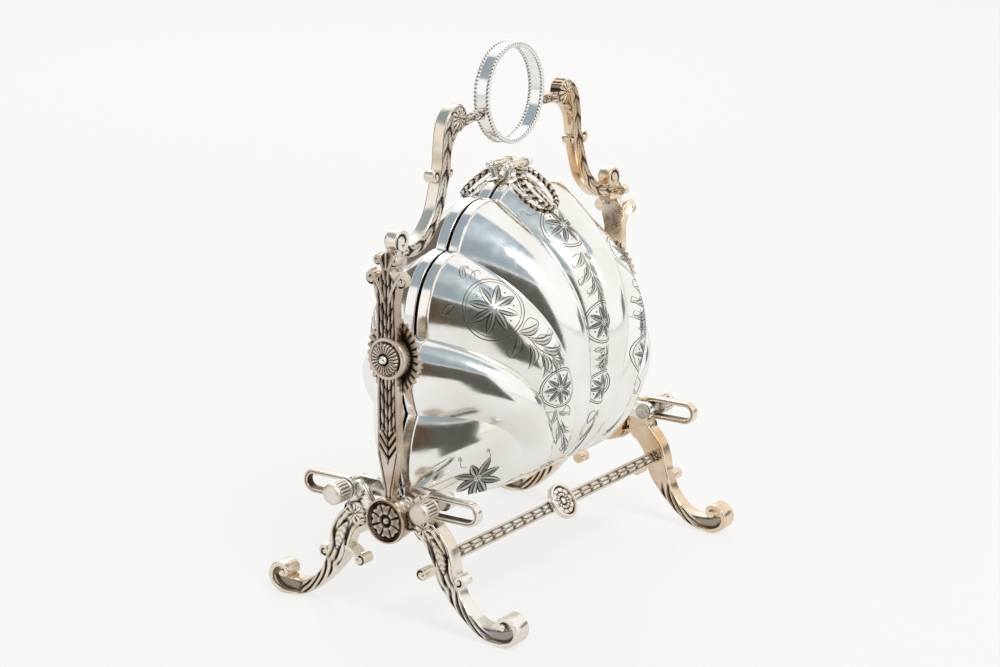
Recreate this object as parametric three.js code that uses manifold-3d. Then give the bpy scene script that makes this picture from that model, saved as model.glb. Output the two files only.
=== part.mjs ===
// A folding biscuit box: two lobed half shells that close like a scallop between two
// cast end frames, under a scrolled handle with a ring.
// Millimetres. X runs along the box, Y across it, and Z is up. The feet stand at Z = 0.
import * as THREE from 'three';
import { mergeVertices } from 'three/addons/utils/BufferGeometryUtils.js';
import Module from 'manifold-3d';

const wasm = await Module();
wasm.setup();

// Clearances
const seatGap = 0.3; // between two pieces that seat on each other
const boreGap = 0.3; // round a pin in its hole
const slotGap = 0.5; // round a hinge pin in its slot
const overrun = 2; // how far a cutter runs past what it cuts

// End castings with the legs
const endStandOff = 12; // side of the shells to the outer face of the castings
const legThick = 9;
const hubPlateThick = 4; // what is left of the casting behind the upright
const hubHeight = 50.6;
const hubRadius = 11.3;
const legSpread = 72.5; // middle of the box to the tip of a foot
const footWidth = 10.5;
const rootRadius = 7; // round top of a leg
const spurInset = 0.7; // how far the spurs stay inside the faces of the leg
const innerSpurRadius = 3;
const outerSpurRadius = 2.7;
const spurStemHalf = 1.5;
const panelDepth = 0.6; // sunk panels that carry the ornament

// Loops with their slots, and the hinge pins of the shells
const pinRise = 10.9; // above the hub
const pinReach = 25.5; // from the middle of the box
const pinRadius = 3;
const pinNeckRadius = 2.4;
const pinHeadRadius = 4;
const pinHeadThick = 1.5;
const pinStudRadius = 1.8;
const slotTravel = 20;
const loopThick = 5;
const loopRail = 2.4;
const knobRadius = 5.4;
const knobLength = 12;
const knobStandOff = 0.6; // between a loop and its knob
const knobStudDepth = 7;
const knobDome = 1;
const reedDepth = 0.45;

// Uprights
const uprightRise = 129.9; // hub to the top of the upright
const uprightThick = 4.7;
const uprightHalf = 6.1; // half its widest plain stretch
const uprightEyeRadius = 11;
const uprightRim = 1.1; // raised edge round the sunk panels
const lowerVoluteRadius = 3;
const upperVoluteRadius = 2.3;
const bossRise = 79.4; // hub to the upper boss
const bossRadius = 10.5;
const bossRingWidth = 2;
const bossRingHeight = 0.8;
const gadroonThick = 2;
const gadroonHalfWidth = 14.5;
const gadroonHalfHeight = 18.7;
const gadroonScallop = 0.9;

// Rosettes and what holds the stack together
const lowerRosetteThick = 3;
const lowerRosetteRim = 1.5;
const upperRosetteRadius = 7.5;
const upperRosetteThick = 2.4;
const fluteDepth = 0.6;
const beadRadius = 2.3;
const studRadius = 2;
const beadPinRadius = 1.1;
const nutRadius = 4.6;
const nutThick = 3;

// Handle
const ringRise = 61.4; // top of the uprights to the centre of the ring
const ringRadius = 25.1;
const ringWall = 1.8;
const ringHalfWidth = 4.35;
const ringRimWidth = 1.3;
const ringRimHeight = 0.6;
const armDepth = 7;
const armHalf = 3.7; // half the width of the scrolled arm
const heelInset = 9.2; // outer face of the castings to the eye of the lower volute
const barHalf = 2.5;
const barDrop = 7.3; // middle of the bar below the centre of the ring
const tenonRadius = 1.4;
const shoulderRadius = 6.5;
const heelRadius = 5.6;
const heelRise = 4; // top of the upright to the eye of the lower volute
const outerBumpRadius = 3;
const innerBumpRadius = 2;
const seatLength = 8;
const seatHalf = 3;
const seatThick = 5;
const seatDrop = 3; // top of the upright down to the top of the seat
const heelPad = 4; // height of the foot under the lower volute
const screwRadius = 1.3;
const screwHeadRadius = 2.4;
const screwHeadThick = 2;
const screwDepth = 5; // how far the screw runs into the handle

// Stretchers
const stretcherReach = 30;
const stretcherDrop = 14.6; // below the hub
const stretcherWide = 6.5;
const stretcherThick = 3;
const stretcherTilt = THREE.MathUtils.degToRad(35);
const stretcherEdge = 0.7;
const stretcherTenonRadius = 1.5;
const stretcherTenonDepth = 5;
const stretcherRosetteRadius = 9.2;
const stretcherRosetteThick = 2.6;
const stretcherRosetteRim = 1.2;
const stretcherStudRadius = 1.1;

// Shells
const baseDrop = 3.5; // hinge pins down to the flat bottom of the shells
const fanDrop = 30; // flat bottom down to the point that all lobes aim at
const shellRadius = 172; // that point to the crest of the top lobe
const shellSideShare = 0.5262; // half the width of the flat bottom, as a share of that radius
const shellWall = 1.3;
const halfGap = 0.8; // middle plane to the rim of a half
const collarDepth = 6.5; // middle plane to the crease behind the rim
const sideDepth = 24; // how deep a half is over its flat bottom
const crownDepth = 46.5; // how deep a half is under its top lobe
const lugOuterGap = 0.3; // between a lug and the casting
const lugThick = 3.6;
const lugEndRadius = 4.3;
const lugStart = 3; // middle plane to where a lug begins
const lugRise = 4;

// Ring pulls on the top of the shells
const pullReach = 4.8; // middle plane to the pull's pin
const pullRise = 6.7; // crest of the top lobe to the pin
const pullPinRadius = 1;
const pullBallRadius = 1.9;
const pullBarrelRadius = 2.4;
const pullBarrelHalf = 6.3;
const earThick = 1.9;
const earRadius = 2.3;
const earFoot = 5; // how far the foot of the bracket runs down the shell
const earFootThick = 1.4;
const pullTube = 1.6;
const pullHalfWidth = 10.5;
const pullLength = 30;

// Pierced grilles inside the shells
const grilleThick = 1.2;
const grilleReach = 5.4; // middle plane to the middle of a grille
const grilleRimGap = 1.2;
const grilleBarrelRadius = 1.5;
const grillePinRadius = 0.7;
const grillePinGrip = 6; // how far a pin runs into the barrel
const grilleAxisRise = 3.6; // flat bottom of the shell to the axis
const grilleRimWidth = 4;
const grilleKnobRadius = 2.2;
const grilleKnobLength = 2.6;
const grilleKnobStem = 0.8;

// Heights and faces that follow
const endFace = shellRadius * shellSideShare + endStandOff; // from the middle of the box
const armReach = endFace - heelInset;
const pinHeight = hubHeight + pinRise;
const baseHeight = pinHeight - baseDrop;
const uprightTop = hubHeight + uprightRise;
const bossHeight = hubHeight + bossRise;
const ringHeight = uprightTop + ringRise;
const legInnerFace = endFace - legThick;
const uprightInnerFace = endFace - uprightThick;
const armTop = ringHeight - barDrop + barHalf;
const stretcherHeight = hubHeight - stretcherDrop;

// Materials
const polished = { color: 0xd9dcdd, roughness: 0.12, metalness: 1 };
const cast = { color: 0xcfc8ba, roughness: 0.3, metalness: 1 };
const steel = { color: 0xb9b4a8, roughness: 0.4, metalness: 1 };
const frosted = { color: 0xd6cfc2, roughness: 0.5, metalness: 1 };

// Solids: a closed geometry becomes a solid that can be joined and cut
function solid(geometry) {
  const bare = geometry.clone();
  bare.deleteAttribute('normal');
  bare.deleteAttribute('uv');
  const merged = mergeVertices(bare);
  const corners = merged.index.array;
  const kept = [];
  for (let i = 0; i < corners.length; i += 3) {
    const [a, b, c] = [corners[i], corners[i + 1], corners[i + 2]];
    if (a !== b && b !== c && c !== a) kept.push(a, b, c);
  }
  return new wasm.Manifold(new wasm.Mesh({
    numProp: 3,
    vertProperties: merged.attributes.position.array,
    triVerts: new Uint32Array(kept),
  }));
}

function joined(first, ...rest) {
  return rest.reduce((whole, piece) => whole.add(piece), first);
}

function cut(first, ...rest) {
  return rest.reduce((whole, piece) => whole.subtract(piece), first);
}

function geometryOf(body) {
  const mesh = body.getMesh();
  const geometry = new THREE.BufferGeometry();
  geometry.setAttribute('position', new THREE.BufferAttribute(mesh.vertProperties, 3));
  geometry.setIndex(new THREE.BufferAttribute(mesh.triVerts, 1));
  geometry.computeVertexNormals();
  return geometry;
}

// The same geometry seen in a mirror across X or Y, with its faces turned outwards again
function mirrored(geometry, alongX, alongY) {
  const copy = geometry.clone();
  copy.scale(alongX, alongY, 1);
  if (alongX * alongY < 0) {
    const order = copy.index.array;
    for (let i = 0; i < order.length; i += 3) {
      [order[i + 1], order[i + 2]] = [order[i + 2], order[i + 1]];
    }
  }
  copy.computeVertexNormals();
  return copy;
}

// Blanks: plates cut from an outline, and turned and drilled shapes
const axisX = new THREE.Vector3(1, 0, 0);
const axisY = new THREE.Vector3(0, 1, 0);
const axisZ = new THREE.Vector3(0, 0, 1);

function extruded(outline, depth, holes = []) {
  const clockwise = THREE.ShapeUtils.isClockWise(outline);
  const shape = new THREE.Shape(clockwise ? outline.slice().reverse() : outline);
  for (const hole of holes) shape.holes.push(new THREE.Path(hole));
  return new THREE.ExtrudeGeometry(shape, { depth, bevelEnabled: false, curveSegments: 1 });
}

// A plate across X, its outline given in Y and Z
function plateX(outline, from, to, holes) {
  const plate = extruded(outline, to - from, holes);
  plate.applyMatrix4(new THREE.Matrix4().makeBasis(axisY, axisZ, axisX));
  return solid(plate.translate(from, 0, 0));
}

// A plate across Y, its outline given in X and Z
function plateY(outline, from, to, holes) {
  const plate = extruded(outline, to - from, holes);
  plate.applyMatrix4(new THREE.Matrix4().makeBasis(axisX, axisZ, axisY.clone().negate()));
  return solid(plate.translate(0, to, 0));
}

function block(low, high) {
  const size = high.map((value, i) => value - low[i]);
  const middle = high.map((value, i) => (value + low[i]) / 2);
  return solid(new THREE.BoxGeometry(...size).translate(...middle));
}

function circle(x, y, radius, sides) {
  return Array.from({ length: sides }, (_, i) => {
    const turn = (2 * Math.PI * i) / sides;
    return new THREE.Vector2(x + radius * Math.cos(turn), y + radius * Math.sin(turn));
  });
}

// A slot or loop outline: two half circles joined by straight sides, along the first axis
function stadium(from, to, height, radius, sides) {
  const arc = (centre, start) => Array.from({ length: sides + 1 }, (_, i) => {
    const turn = start + (Math.PI * i) / sides;
    return new THREE.Vector2(centre + radius * Math.cos(turn), height + radius * Math.sin(turn));
  });
  return [...arc(to, -Math.PI / 2), ...arc(from, Math.PI / 2)];
}

// A turned shape: each point of the profile is a radius and a place along the axis
function turnedX(profile, sides) {
  const points = profile.map(([radius, along]) => new THREE.Vector2(radius, along));
  return new THREE.LatheGeometry(points, sides).rotateZ(-Math.PI / 2);
}

function rodX(radius, from, to, y, z, sides = 16) {
  const rod = turnedX([[0, from], [radius, from], [radius, to], [0, to]], sides);
  return solid(rod.translate(0, y, z));
}

function rodZ(radius, from, to, x, y, sides = 16) {
  const rod = new THREE.CylinderGeometry(radius, radius, to - from, sides);
  return solid(rod.rotateX(Math.PI / 2).translate(x, y, (from + to) / 2));
}

function pointsOf(shares, wide, high) {
  return shares.map(([across, up]) => new THREE.Vector2(across * wide, up * high));
}

function smooth(points, steps) {
  return new THREE.SplineCurve(points).getPoints(steps);
}

// A band that follows a curve, with its own half width at every place along it
function band(points, halfAt, steps) {
  const spine = new THREE.SplineCurve(points);
  const near = [];
  const far = [];
  for (let i = 0; i <= steps; i += 1) {
    const t = i / steps;
    const at = spine.getPoint(t);
    const way = spine.getTangent(t);
    const side = new THREE.Vector2(-way.y, way.x).multiplyScalar(halfAt(t));
    near.push(at.clone().add(side));
    far.unshift(at.clone().sub(side));
  }
  return [...near, ...far];
}

const model = new THREE.Group();

function addMesh(group, name, geometry, finish) {
  const material = new THREE.MeshStandardMaterial({ ...finish, flatShading: true });
  const mesh = new THREE.Mesh(geometry, material);
  mesh.name = name;
  group.add(mesh);
  return mesh;
}

// Leg casting: hub, two scrolled legs and two slotted loops in one piece
const legInnerShares = [
  [0.12, 0.93], [0.197, 0.929], [0.255, 0.86], [0.308, 0.767], [0.342, 0.656], [0.359, 0.565],
  [0.386, 0.474], [0.437, 0.383], [0.51, 0.267], [0.593, 0.16], [0.679, 0.069], [0.772, 0],
];
const legOuterShares = [
  [0.353, 1.047], [0.419, 0.949], [0.472, 0.84], [0.499, 0.731], [0.513, 0.623], [0.535, 0.524],
  [0.56, 0.405], [0.61, 0.296], [0.681, 0.208], [0.786, 0.164], [0.85, 0.17],
];
const footCurlShares = [
  [0.91, 0], [0.979, 0.089], [1, 0.2], [0.966, 0.29], [0.91, 0.304], [0.881, 0.241], [0.908, 0.188],
];
const rootShares = [0.283, 0.988];
const innerSpurShares = [[0.393, 0.61], [0.33, 0.6], [0.255, 0.524]];
const outerSpurShares = [0.552, 0.534];
const panelEdgeShare = 0.17;
const panelStartShare = 0.06;
const panelEndShare = 0.9;
const footStartShare = 0.72;

function legFrame() {
  const steps = 10;
  const inner = smooth(pointsOf(legInnerShares, legSpread, hubHeight), steps);
  const outer = smooth(pointsOf(legOuterShares, legSpread, hubHeight), steps);
  const curl = smooth(pointsOf(footCurlShares, legSpread, hubHeight), 9);
  const outline = [...inner, ...curl, ...outer.slice().reverse()];
  const leg = plateX(outline, legInnerFace, endFace);

  const middleFace = (legInnerFace + endFace) / 2;
  const footBlank = plateX(outline, middleFace - footWidth / 2, middleFace + footWidth / 2);
  const footZone = block(
    [legInnerFace - footWidth, footStartShare * legSpread, -overrun],
    [endFace + footWidth, legSpread + overrun, hubHeight],
  );
  const foot = footBlank.intersect(footZone);

  const near = [];
  const far = [];
  inner.forEach((point, i) => {
    const share = i / steps;
    if (share < panelStartShare || share > panelEndShare) return;
    near.push(point.clone().lerp(outer[i], panelEdgeShare));
    far.unshift(outer[i].clone().lerp(point, panelEdgeShare));
  });
  const panel = plateX([...near, ...far], endFace - panelDepth, endFace + overrun);

  const [rootY, rootZ] = [rootShares[0] * legSpread, rootShares[1] * hubHeight];
  const root = rodX(rootRadius, legInnerFace, endFace, rootY, rootZ, 12);
  const spurPoints = pointsOf(innerSpurShares, legSpread, hubHeight);
  const spurTip = spurPoints[spurPoints.length - 1];
  const [spurIn, spurOut] = [legInnerFace + spurInset, endFace - spurInset];
  const stem = plateX(band(spurPoints, () => spurStemHalf, 3), spurIn, spurOut);
  const innerSpur = rodX(innerSpurRadius, spurIn, spurOut, spurTip.x, spurTip.y, 10);
  const [spurY, spurZ] = [outerSpurShares[0] * legSpread, outerSpurShares[1] * hubHeight];
  const outerSpur = rodX(outerSpurRadius, spurIn, spurOut, spurY, spurZ, 10);

  const slotRadius = pinRadius + slotGap;
  const slotEnd = pinReach + slotTravel;
  const loopOutline = stadium(rootY, slotEnd, pinHeight, slotRadius + loopRail, 6);
  const web = plateX([
    new THREE.Vector2(rootY - rootRadius, rootZ),
    new THREE.Vector2(rootY + rootRadius, rootZ),
    new THREE.Vector2(pinReach + slotRadius, pinHeight - slotRadius),
    new THREE.Vector2(rootY - rootRadius, pinHeight),
  ], endFace - loopThick, endFace);
  const loop = plateX(loopOutline, endFace - loopThick, endFace).add(web);
  const slotOutline = stadium(pinReach, slotEnd, pinHeight, slotRadius, 6);
  const slot = plateX(slotOutline, legInnerFace - overrun, endFace + overrun);
  const socket = rodX(
    stretcherTenonRadius + boreGap,
    legInnerFace - overrun,
    legInnerFace + stretcherTenonDepth + boreGap,
    stretcherReach,
    stretcherHeight,
    8,
  );

  const side = cut(joined(cut(leg, panel), foot, root, stem, innerSpur, outerSpur, loop), slot, socket);
  const otherSide = solid(mirrored(geometryOf(side), 1, -1));
  const hub = rodX(hubRadius, legInnerFace, endFace, 0, hubHeight, 22);
  const pocketRadius = uprightEyeRadius + seatGap;
  const pocketFloor = legInnerFace + hubPlateThick;
  const pocket = rodX(pocketRadius, pocketFloor, endFace + overrun, 0, hubHeight, 22);
  const studHole = rodX(studRadius + boreGap, legInnerFace - overrun, endFace, 0, hubHeight, 10);
  return geometryOf(cut(joined(side, otherSide, hub), pocket, studHole));
}

// Upright: a narrow pilaster with sunk panels, a round eye, a boss and two pairs of volutes
const uprightShares = [
  [0, 0.377], [0.111, 0.377], [0.18, 0.69], [0.249, 1], [0.365, 0.967], [0.496, 0.918],
  [0.62, 0.95], [0.704, 0.984], [0.819, 0.902], [0.865, 1.148], [0.888, 1.23], [0.919, 0.656],
  [0.935, 0.4], [0.958, 0.49], [0.981, 0.426], [1, 0.2],
];
const lowerVoluteShares = [1.361, 0.904];
const upperVoluteShares = [0.705, 0.973];
const panelShares = [[0.17, 0.52], [0.7, 0.85]];

function uprightHalfAt(share) {
  const after = uprightShares.findIndex(([up]) => up >= share);
  if (after < 1) return uprightShares[0][1] * uprightHalf;
  const [low, lowHalf] = uprightShares[after - 1];
  const [high, highHalf] = uprightShares[after];
  const mix = (share - low) / (high - low);
  return (lowHalf + (highHalf - lowHalf) * mix) * uprightHalf;
}

function pilaster(from, to, inset) {
  const between = uprightShares.map(([up]) => up).filter((up) => up > from && up < to);
  const right = [from, ...between, to].map((share) => new THREE.Vector2(
    uprightHalfAt(share) - inset, hubHeight + share * uprightRise));
  const left = right.map(({ x, y }) => new THREE.Vector2(-x, y)).reverse();
  return [...right, ...left];
}

function upright() {
  let body = plateX(pilaster(0, 1, 0), uprightInnerFace, endFace);
  body = body.add(rodX(uprightEyeRadius, uprightInnerFace, endFace, 0, hubHeight, 22));
  body = body.add(rodX(bossRadius, uprightInnerFace, endFace + bossRingHeight, 0, bossHeight, 22));
  for (const [from, to] of panelShares) {
    const sunk = plateX(pilaster(from, to, uprightRim), endFace - panelDepth, endFace + overrun);
    body = body.subtract(sunk);
  }
  for (const side of [-1, 1]) {
    const lowerY = side * lowerVoluteShares[0] * uprightHalf;
    const lowerZ = hubHeight + lowerVoluteShares[1] * uprightRise;
    const upperY = side * upperVoluteShares[0] * uprightHalf;
    const upperZ = hubHeight + upperVoluteShares[1] * uprightRise;
    body = body.add(rodX(lowerVoluteRadius, uprightInnerFace, endFace, lowerY, lowerZ, 10));
    body = body.add(rodX(upperVoluteRadius, uprightInnerFace, endFace, upperY, upperZ, 8));
  }
  const seatTop = uprightTop - seatDrop;
  const seatEnd = uprightInnerFace - seatLength;
  const seat = block(
    [seatEnd, -seatHalf, seatTop - seatThick], [uprightInnerFace + overrun, seatHalf, seatTop]);
  const screwHole = rodZ(
    screwRadius + boreGap, seatTop - seatThick - overrun, seatTop + overrun, armReach, 0, 8);
  const bossWell = rodX(bossRadius - bossRingWidth, endFace, endFace + overrun, 0, bossHeight, 22);
  const beadHole = rodX(
    beadPinRadius + boreGap, uprightInnerFace - overrun, endFace + overrun, 0, bossHeight, 8);
  const studHole = rodX(
    studRadius + boreGap, uprightInnerFace - overrun, endFace + overrun, 0, hubHeight, 10);
  return geometryOf(cut(body.add(seat), screwHole, bossWell, beadHole, studHole));
}

// Gadrooned disc behind the upper boss
const gadroonFace = uprightInnerFace - seatGap;
function gadroonDisc() {
  const scallops = 22;
  const perScallop = 2;
  const outline = Array.from({ length: scallops * perScallop }, (_, i) => {
    const turn = (2 * Math.PI * i) / (scallops * perScallop);
    const dip = gadroonScallop * Math.abs(Math.cos((scallops * turn) / 2));
    const y = (gadroonHalfWidth - dip) * Math.cos(turn);
    return new THREE.Vector2(y, bossHeight + (gadroonHalfHeight - dip) * Math.sin(turn));
  });
  const hole = circle(0, bossHeight, beadPinRadius + boreGap, 10);
  return geometryOf(plateX(outline, gadroonFace - gadroonThick, gadroonFace, [hole]));
}

// Rosettes: a rimmed dish with a ring of petals round a bead
const rosetteCentreShare = 0.2; // bead in the middle, as a share of the radius
const petalHeightShare = 0.8; // of the depth of the dish
const petalWidthShare = 0.9; // of the room between two petals
function rosette(radius, thick, rimWidth, petals) {
  const well = thick / 2;
  const centreRadius = radius * rosetteCentreShare;
  const dish = turnedX([
    [0, 0], [radius, 0], [radius, thick - rimWidth / 2], [radius - rimWidth / 2, thick],
    [radius - rimWidth, well], [0, well],
  ], 20);
  let body = solid(dish);
  const petalReach = (radius - rimWidth + centreRadius) / 2;
  const petalLong = (radius - rimWidth - centreRadius) / 2;
  const petalWide = (Math.PI * petalReach) / petals;
  for (let i = 0; i < petals; i += 1) {
    const petal = new THREE.OctahedronGeometry(1).scale(
      well * petalHeightShare, petalWide * petalWidthShare, petalLong);
    petal.translate(well, 0, petalReach).rotateX((2 * Math.PI * i) / petals);
    body = body.add(solid(petal));
  }
  const bead = new THREE.SphereGeometry(centreRadius, 8, 6).translate(well, 0, 0);
  return body.add(solid(bead));
}

function lowerRosette() {
  const face = endFace + seatGap;
  const dish = geometryOf(rosette(hubRadius, lowerRosetteThick, lowerRosetteRim, 8));
  const shaftEnd = legInnerFace - seatGap - nutThick;
  const shaft = rodX(studRadius, shaftEnd, face + lowerRosetteThick / 3, 0, hubHeight, 10);
  return geometryOf(solid(dish.translate(face, 0, hubHeight)).add(shaft));
}

const upperDishShare = 0.62; // dish of the upper rosette, as a share of its radius
function upperRosette() {
  const flutes = 18;
  const outline = Array.from({ length: flutes * 2 }, (_, i) => {
    const turn = (Math.PI * i) / flutes;
    const radius = upperRosetteRadius - (i % 2) * fluteDepth;
    return new THREE.Vector2(radius * Math.cos(turn), bossHeight + radius * Math.sin(turn));
  });
  const face = endFace + seatGap;
  const hole = circle(0, bossHeight, beadPinRadius + boreGap, 8);
  const disc = plateX(outline, face, face + upperRosetteThick, [hole]);
  const dishRadius = upperRosetteRadius * upperDishShare;
  const dish = rodX(dishRadius, face + upperRosetteThick / 2, face + overrun * 2, 0, bossHeight, 14);
  return geometryOf(disc.subtract(dish));
}

function beadPin() {
  const face = endFace + seatGap * 2 + upperRosetteThick / 2;
  const end = gadroonFace - gadroonThick;
  const steps = 3;
  const dome = Array.from({ length: steps + 1 }, (_, i) => {
    const turn = (Math.PI / 2) * (i / steps);
    return [beadRadius * Math.cos(turn), face + beadRadius * (0.5 + Math.sin(turn))];
  });
  dome[steps][0] = 0;
  const profile = [[0, end], [beadPinRadius, end], [beadPinRadius, face], [beadRadius, face], ...dome];
  return geometryOf(solid(turnedX(profile, 8).translate(0, 0, bossHeight)));
}

function frameNut() {
  const outer = legInnerFace - seatGap;
  const hex = circle(0, hubHeight, nutRadius, 6);
  const bore = circle(0, hubHeight, studRadius + boreGap, 10);
  return geometryOf(plateX(hex, outer - nutThick, outer, [bore]));
}

// Handle arm: a bar from the ring, a shoulder volute, an S scroll and a volute on the seat
const armShares = [
  [0.461, 0.935], [0.514, 0.96], [0.568, 0.91], [0.598, 0.815], [0.611, 0.69], [0.622, 0.549],
  [0.654, 0.393], [0.697, 0.236], [0.766, 0.119], [0.847, 0.046], [0.932, 0.026], [0.995, 0.05],
];
const armTaperShare = 0.22;
const shoulderShares = [0.504, 0.91];
const bumpShares = [0.632, 0.514];
const outerBumpOffset = 6.1; // middle of the arm to the eye of a small volute
const innerBumpOffset = 5.4;

function armPoint([along, up]) {
  const foot = uprightTop - seatDrop;
  return new THREE.Vector2(along * armReach, foot + up * (ringHeight - foot));
}

function handleArm() {
  const half = armDepth / 2;
  const taper = (t) => armHalf * (1 - armTaperShare * Math.abs(2 * t - 1) ** 3);
  let body = plateY(band(armShares.map(armPoint), taper, 20), -half, half);
  const disc = (centre, radius, sides, depth) => plateY(
    circle(centre.x, centre.y, radius, sides), -depth, depth);
  const heel = new THREE.Vector2(armReach, uprightTop + heelRise);
  const bumpHalf = half - spurInset;
  const waist = armPoint(bumpShares);
  body = joined(
    body,
    disc(armPoint(shoulderShares), shoulderRadius, 18, half),
    disc(heel, heelRadius, 16, half),
    disc(new THREE.Vector2(waist.x + outerBumpOffset, waist.y), outerBumpRadius, 10, bumpHalf),
    disc(new THREE.Vector2(waist.x - innerBumpOffset, waist.y), innerBumpRadius, 8, bumpHalf),
  );
  const barMiddle = ringHeight - barDrop;
  const bar = block([0, -barHalf, barMiddle - barHalf], [armPoint(shoulderShares).x, barHalf, armTop]);
  const padBottom = uprightTop - seatDrop + seatGap;
  const padEnd = uprightInnerFace - seatGap;
  const pad = block([padEnd - seatLength, -seatHalf, padBottom], [padEnd, seatHalf, padBottom + heelPad]);
  const under = block(
    [0, -armDepth, padBottom - armDepth], [endFace, armDepth, padBottom]);
  const seatSide = block(
    [padEnd, -armDepth, padBottom - armDepth], [endFace, armDepth, uprightTop + seatGap]);
  const ringSpace = ringCore(ringRadius - ringRimHeight + seatGap, armDepth);
  const screwHole = rodZ(
    screwRadius + boreGap, padBottom - overrun, padBottom + screwDepth + boreGap, armReach, 0, 8);
  const arm = cut(joined(body, bar, pad), under, seatSide, ringSpace, screwHole);
  return geometryOf(arm.add(tenon(tenonRadius, ringRadius - ringWall, ringRadius + overrun)));
}

// A round plug through the middle of the ring, and a tenon that points out from its centre
function ringCore(radius, half) {
  return plateY(circle(0, ringHeight, radius, 36), -half, half);
}

function tenon(radius, from, to) {
  const rod = new THREE.CylinderGeometry(radius, radius, to - from, 8);
  const lean = Math.asin(barDrop / ringRadius);
  rod.translate(0, (from + to) / 2, 0).rotateZ(-Math.PI / 2).rotateY(lean);
  return solid(rod.translate(0, 0, ringHeight));
}

function handleRing() {
  const [inner, band1] = [ringRadius - ringWall, ringRadius - ringRimHeight];
  const flat = ringHalfWidth - ringRimWidth;
  const profile = [
    [inner, -ringHalfWidth], [ringRadius, -ringHalfWidth], [ringRadius, -flat],
    [band1, -flat + ringRimHeight],
    [band1, flat - ringRimHeight], [ringRadius, flat], [ringRadius, ringHalfWidth], [inner, ringHalfWidth],
    [inner, -ringHalfWidth],
  ].map(([radius, along]) => new THREE.Vector2(radius, along));
  const ring = solid(new THREE.LatheGeometry(profile, 36).translate(0, 0, ringHeight));
  const hole = tenon(tenonRadius + boreGap, ringRadius - ringWall - overrun, ringRadius + overrun);
  const otherHole = solid(mirrored(geometryOf(hole), -1, 1));
  return geometryOf(cut(ring, hole, otherHole));
}

function seatScrew() {
  const under = uprightTop - seatDrop - seatThick - seatGap;
  const tip = uprightTop - seatDrop + seatGap + screwDepth;
  const head = rodZ(screwHeadRadius, under - screwHeadThick, under, armReach, 0, 10);
  return geometryOf(head.add(rodZ(screwRadius, under - screwHeadThick / 2, tip, armReach, 0, 8)));
}

// Stretchers between the legs, tilted so that an opened shell lies flat on them
function stretcherBlank() {
  const [wide, thick] = [stretcherWide / 2, stretcherThick / 2];
  const length = legInnerFace - seatGap;
  const outline = [
    [wide, -thick], [wide, thick - stretcherEdge], [wide - stretcherEdge, thick],
    [stretcherEdge - wide, thick], [-wide, thick - stretcherEdge], [-wide, -thick],
  ].map(([up, out]) => new THREE.Vector2(-out, up));
  const bar = plateX(outline, -length, length);
  const reach = legInnerFace + stretcherTenonDepth;
  const stud = rodX(stretcherTenonRadius, -reach, reach, 0, 0, 8);
  const hole = new THREE.CylinderGeometry(
    stretcherStudRadius + boreGap, stretcherStudRadius + boreGap, stretcherThick + 2 * overrun, 8);
  return cut(joined(bar, stud), solid(hole));
}

function stretcherRosette() {
  const dish = rosette(stretcherRosetteRadius, stretcherRosetteThick, stretcherRosetteRim, 8);
  const flat = geometryOf(dish).rotateZ(-Math.PI / 2);
  const face = stretcherThick / 2 + seatGap;
  const stud = new THREE.CylinderGeometry(stretcherStudRadius, stretcherStudRadius, face * 2 + seatGap, 8);
  return geometryOf(solid(flat.translate(0, -face, 0)).add(solid(stud)));
}

// Shell: nine lobes that fan out from the long edge of the flat bottom to the rim
const fanHeight = baseHeight - fanDrop;
const shellHalf = shellRadius * shellSideShare;
const fanEnd = Math.atan2(shellHalf, fanDrop);
const notchAngles = [...[6.1, 20.3, 36.5, 50.7].map(THREE.MathUtils.degToRad), fanEnd];
const notchShares = [0.959, 0.899, 0.78, 0.657, Math.hypot(shellHalf, fanDrop) / shellRadius];
const crestShares = [0.041, 0.042, 0.049, 0.047, 0.016];
const crownShare = 0.45;
const risePower = 3;
const fallPower = 2.3;
const bulgePower = 0.7;
const sidePower = 4;
const crownPower = 3.9;
const rimPower = 6;
const lineBow = 0.76; // how much the lines of the fan bend in on their way up

// Which lobe an angle lies in: the radius of the notches, the crest and the place across it
function lobeAt(angle) {
  const size = Math.min(Math.abs(angle), fanEnd);
  const rounding = 1e-9;
  const index = notchAngles.findIndex((notch) => size <= notch + rounding);
  const end = notchAngles[index];
  const start = index === 0 ? -notchAngles[0] : notchAngles[index - 1];
  const startShare = index === 0 ? notchShares[0] : notchShares[index - 1];
  const mix = (size - start) / (end - start);
  return {
    radius: (startShare + (notchShares[index] - startShare) * mix) * shellRadius,
    crest: crestShares[index] * shellRadius * (1 - (2 * mix - 1) ** 2),
  };
}

function rimRadius(angle) {
  const { radius, crest } = lobeAt(angle);
  return radius + crest;
}

// A place in the plane of the rim, given from the point the lobes aim at
function fanPoint(angle, out) {
  return new THREE.Vector2(out * Math.sin(angle), fanHeight + out * Math.cos(angle));
}

// How deep the body is without its lobes, and how fast the depth grows towards the rim
function bodyDepth(side, crown, reach) {
  if (reach < crownShare) {
    const left = 1 - reach / crownShare;
    return {
      depth: side + (crown - side) * (1 - left ** risePower),
      slope: ((crown - side) * risePower * left ** (risePower - 1)) / crownShare,
    };
  }
  const over = (reach - crownShare) / (1 - crownShare);
  return {
    depth: crown * (1 - over ** fallPower),
    slope: (-crown * fallPower * over ** (fallPower - 1)) / (1 - crownShare),
  };
}

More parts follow.
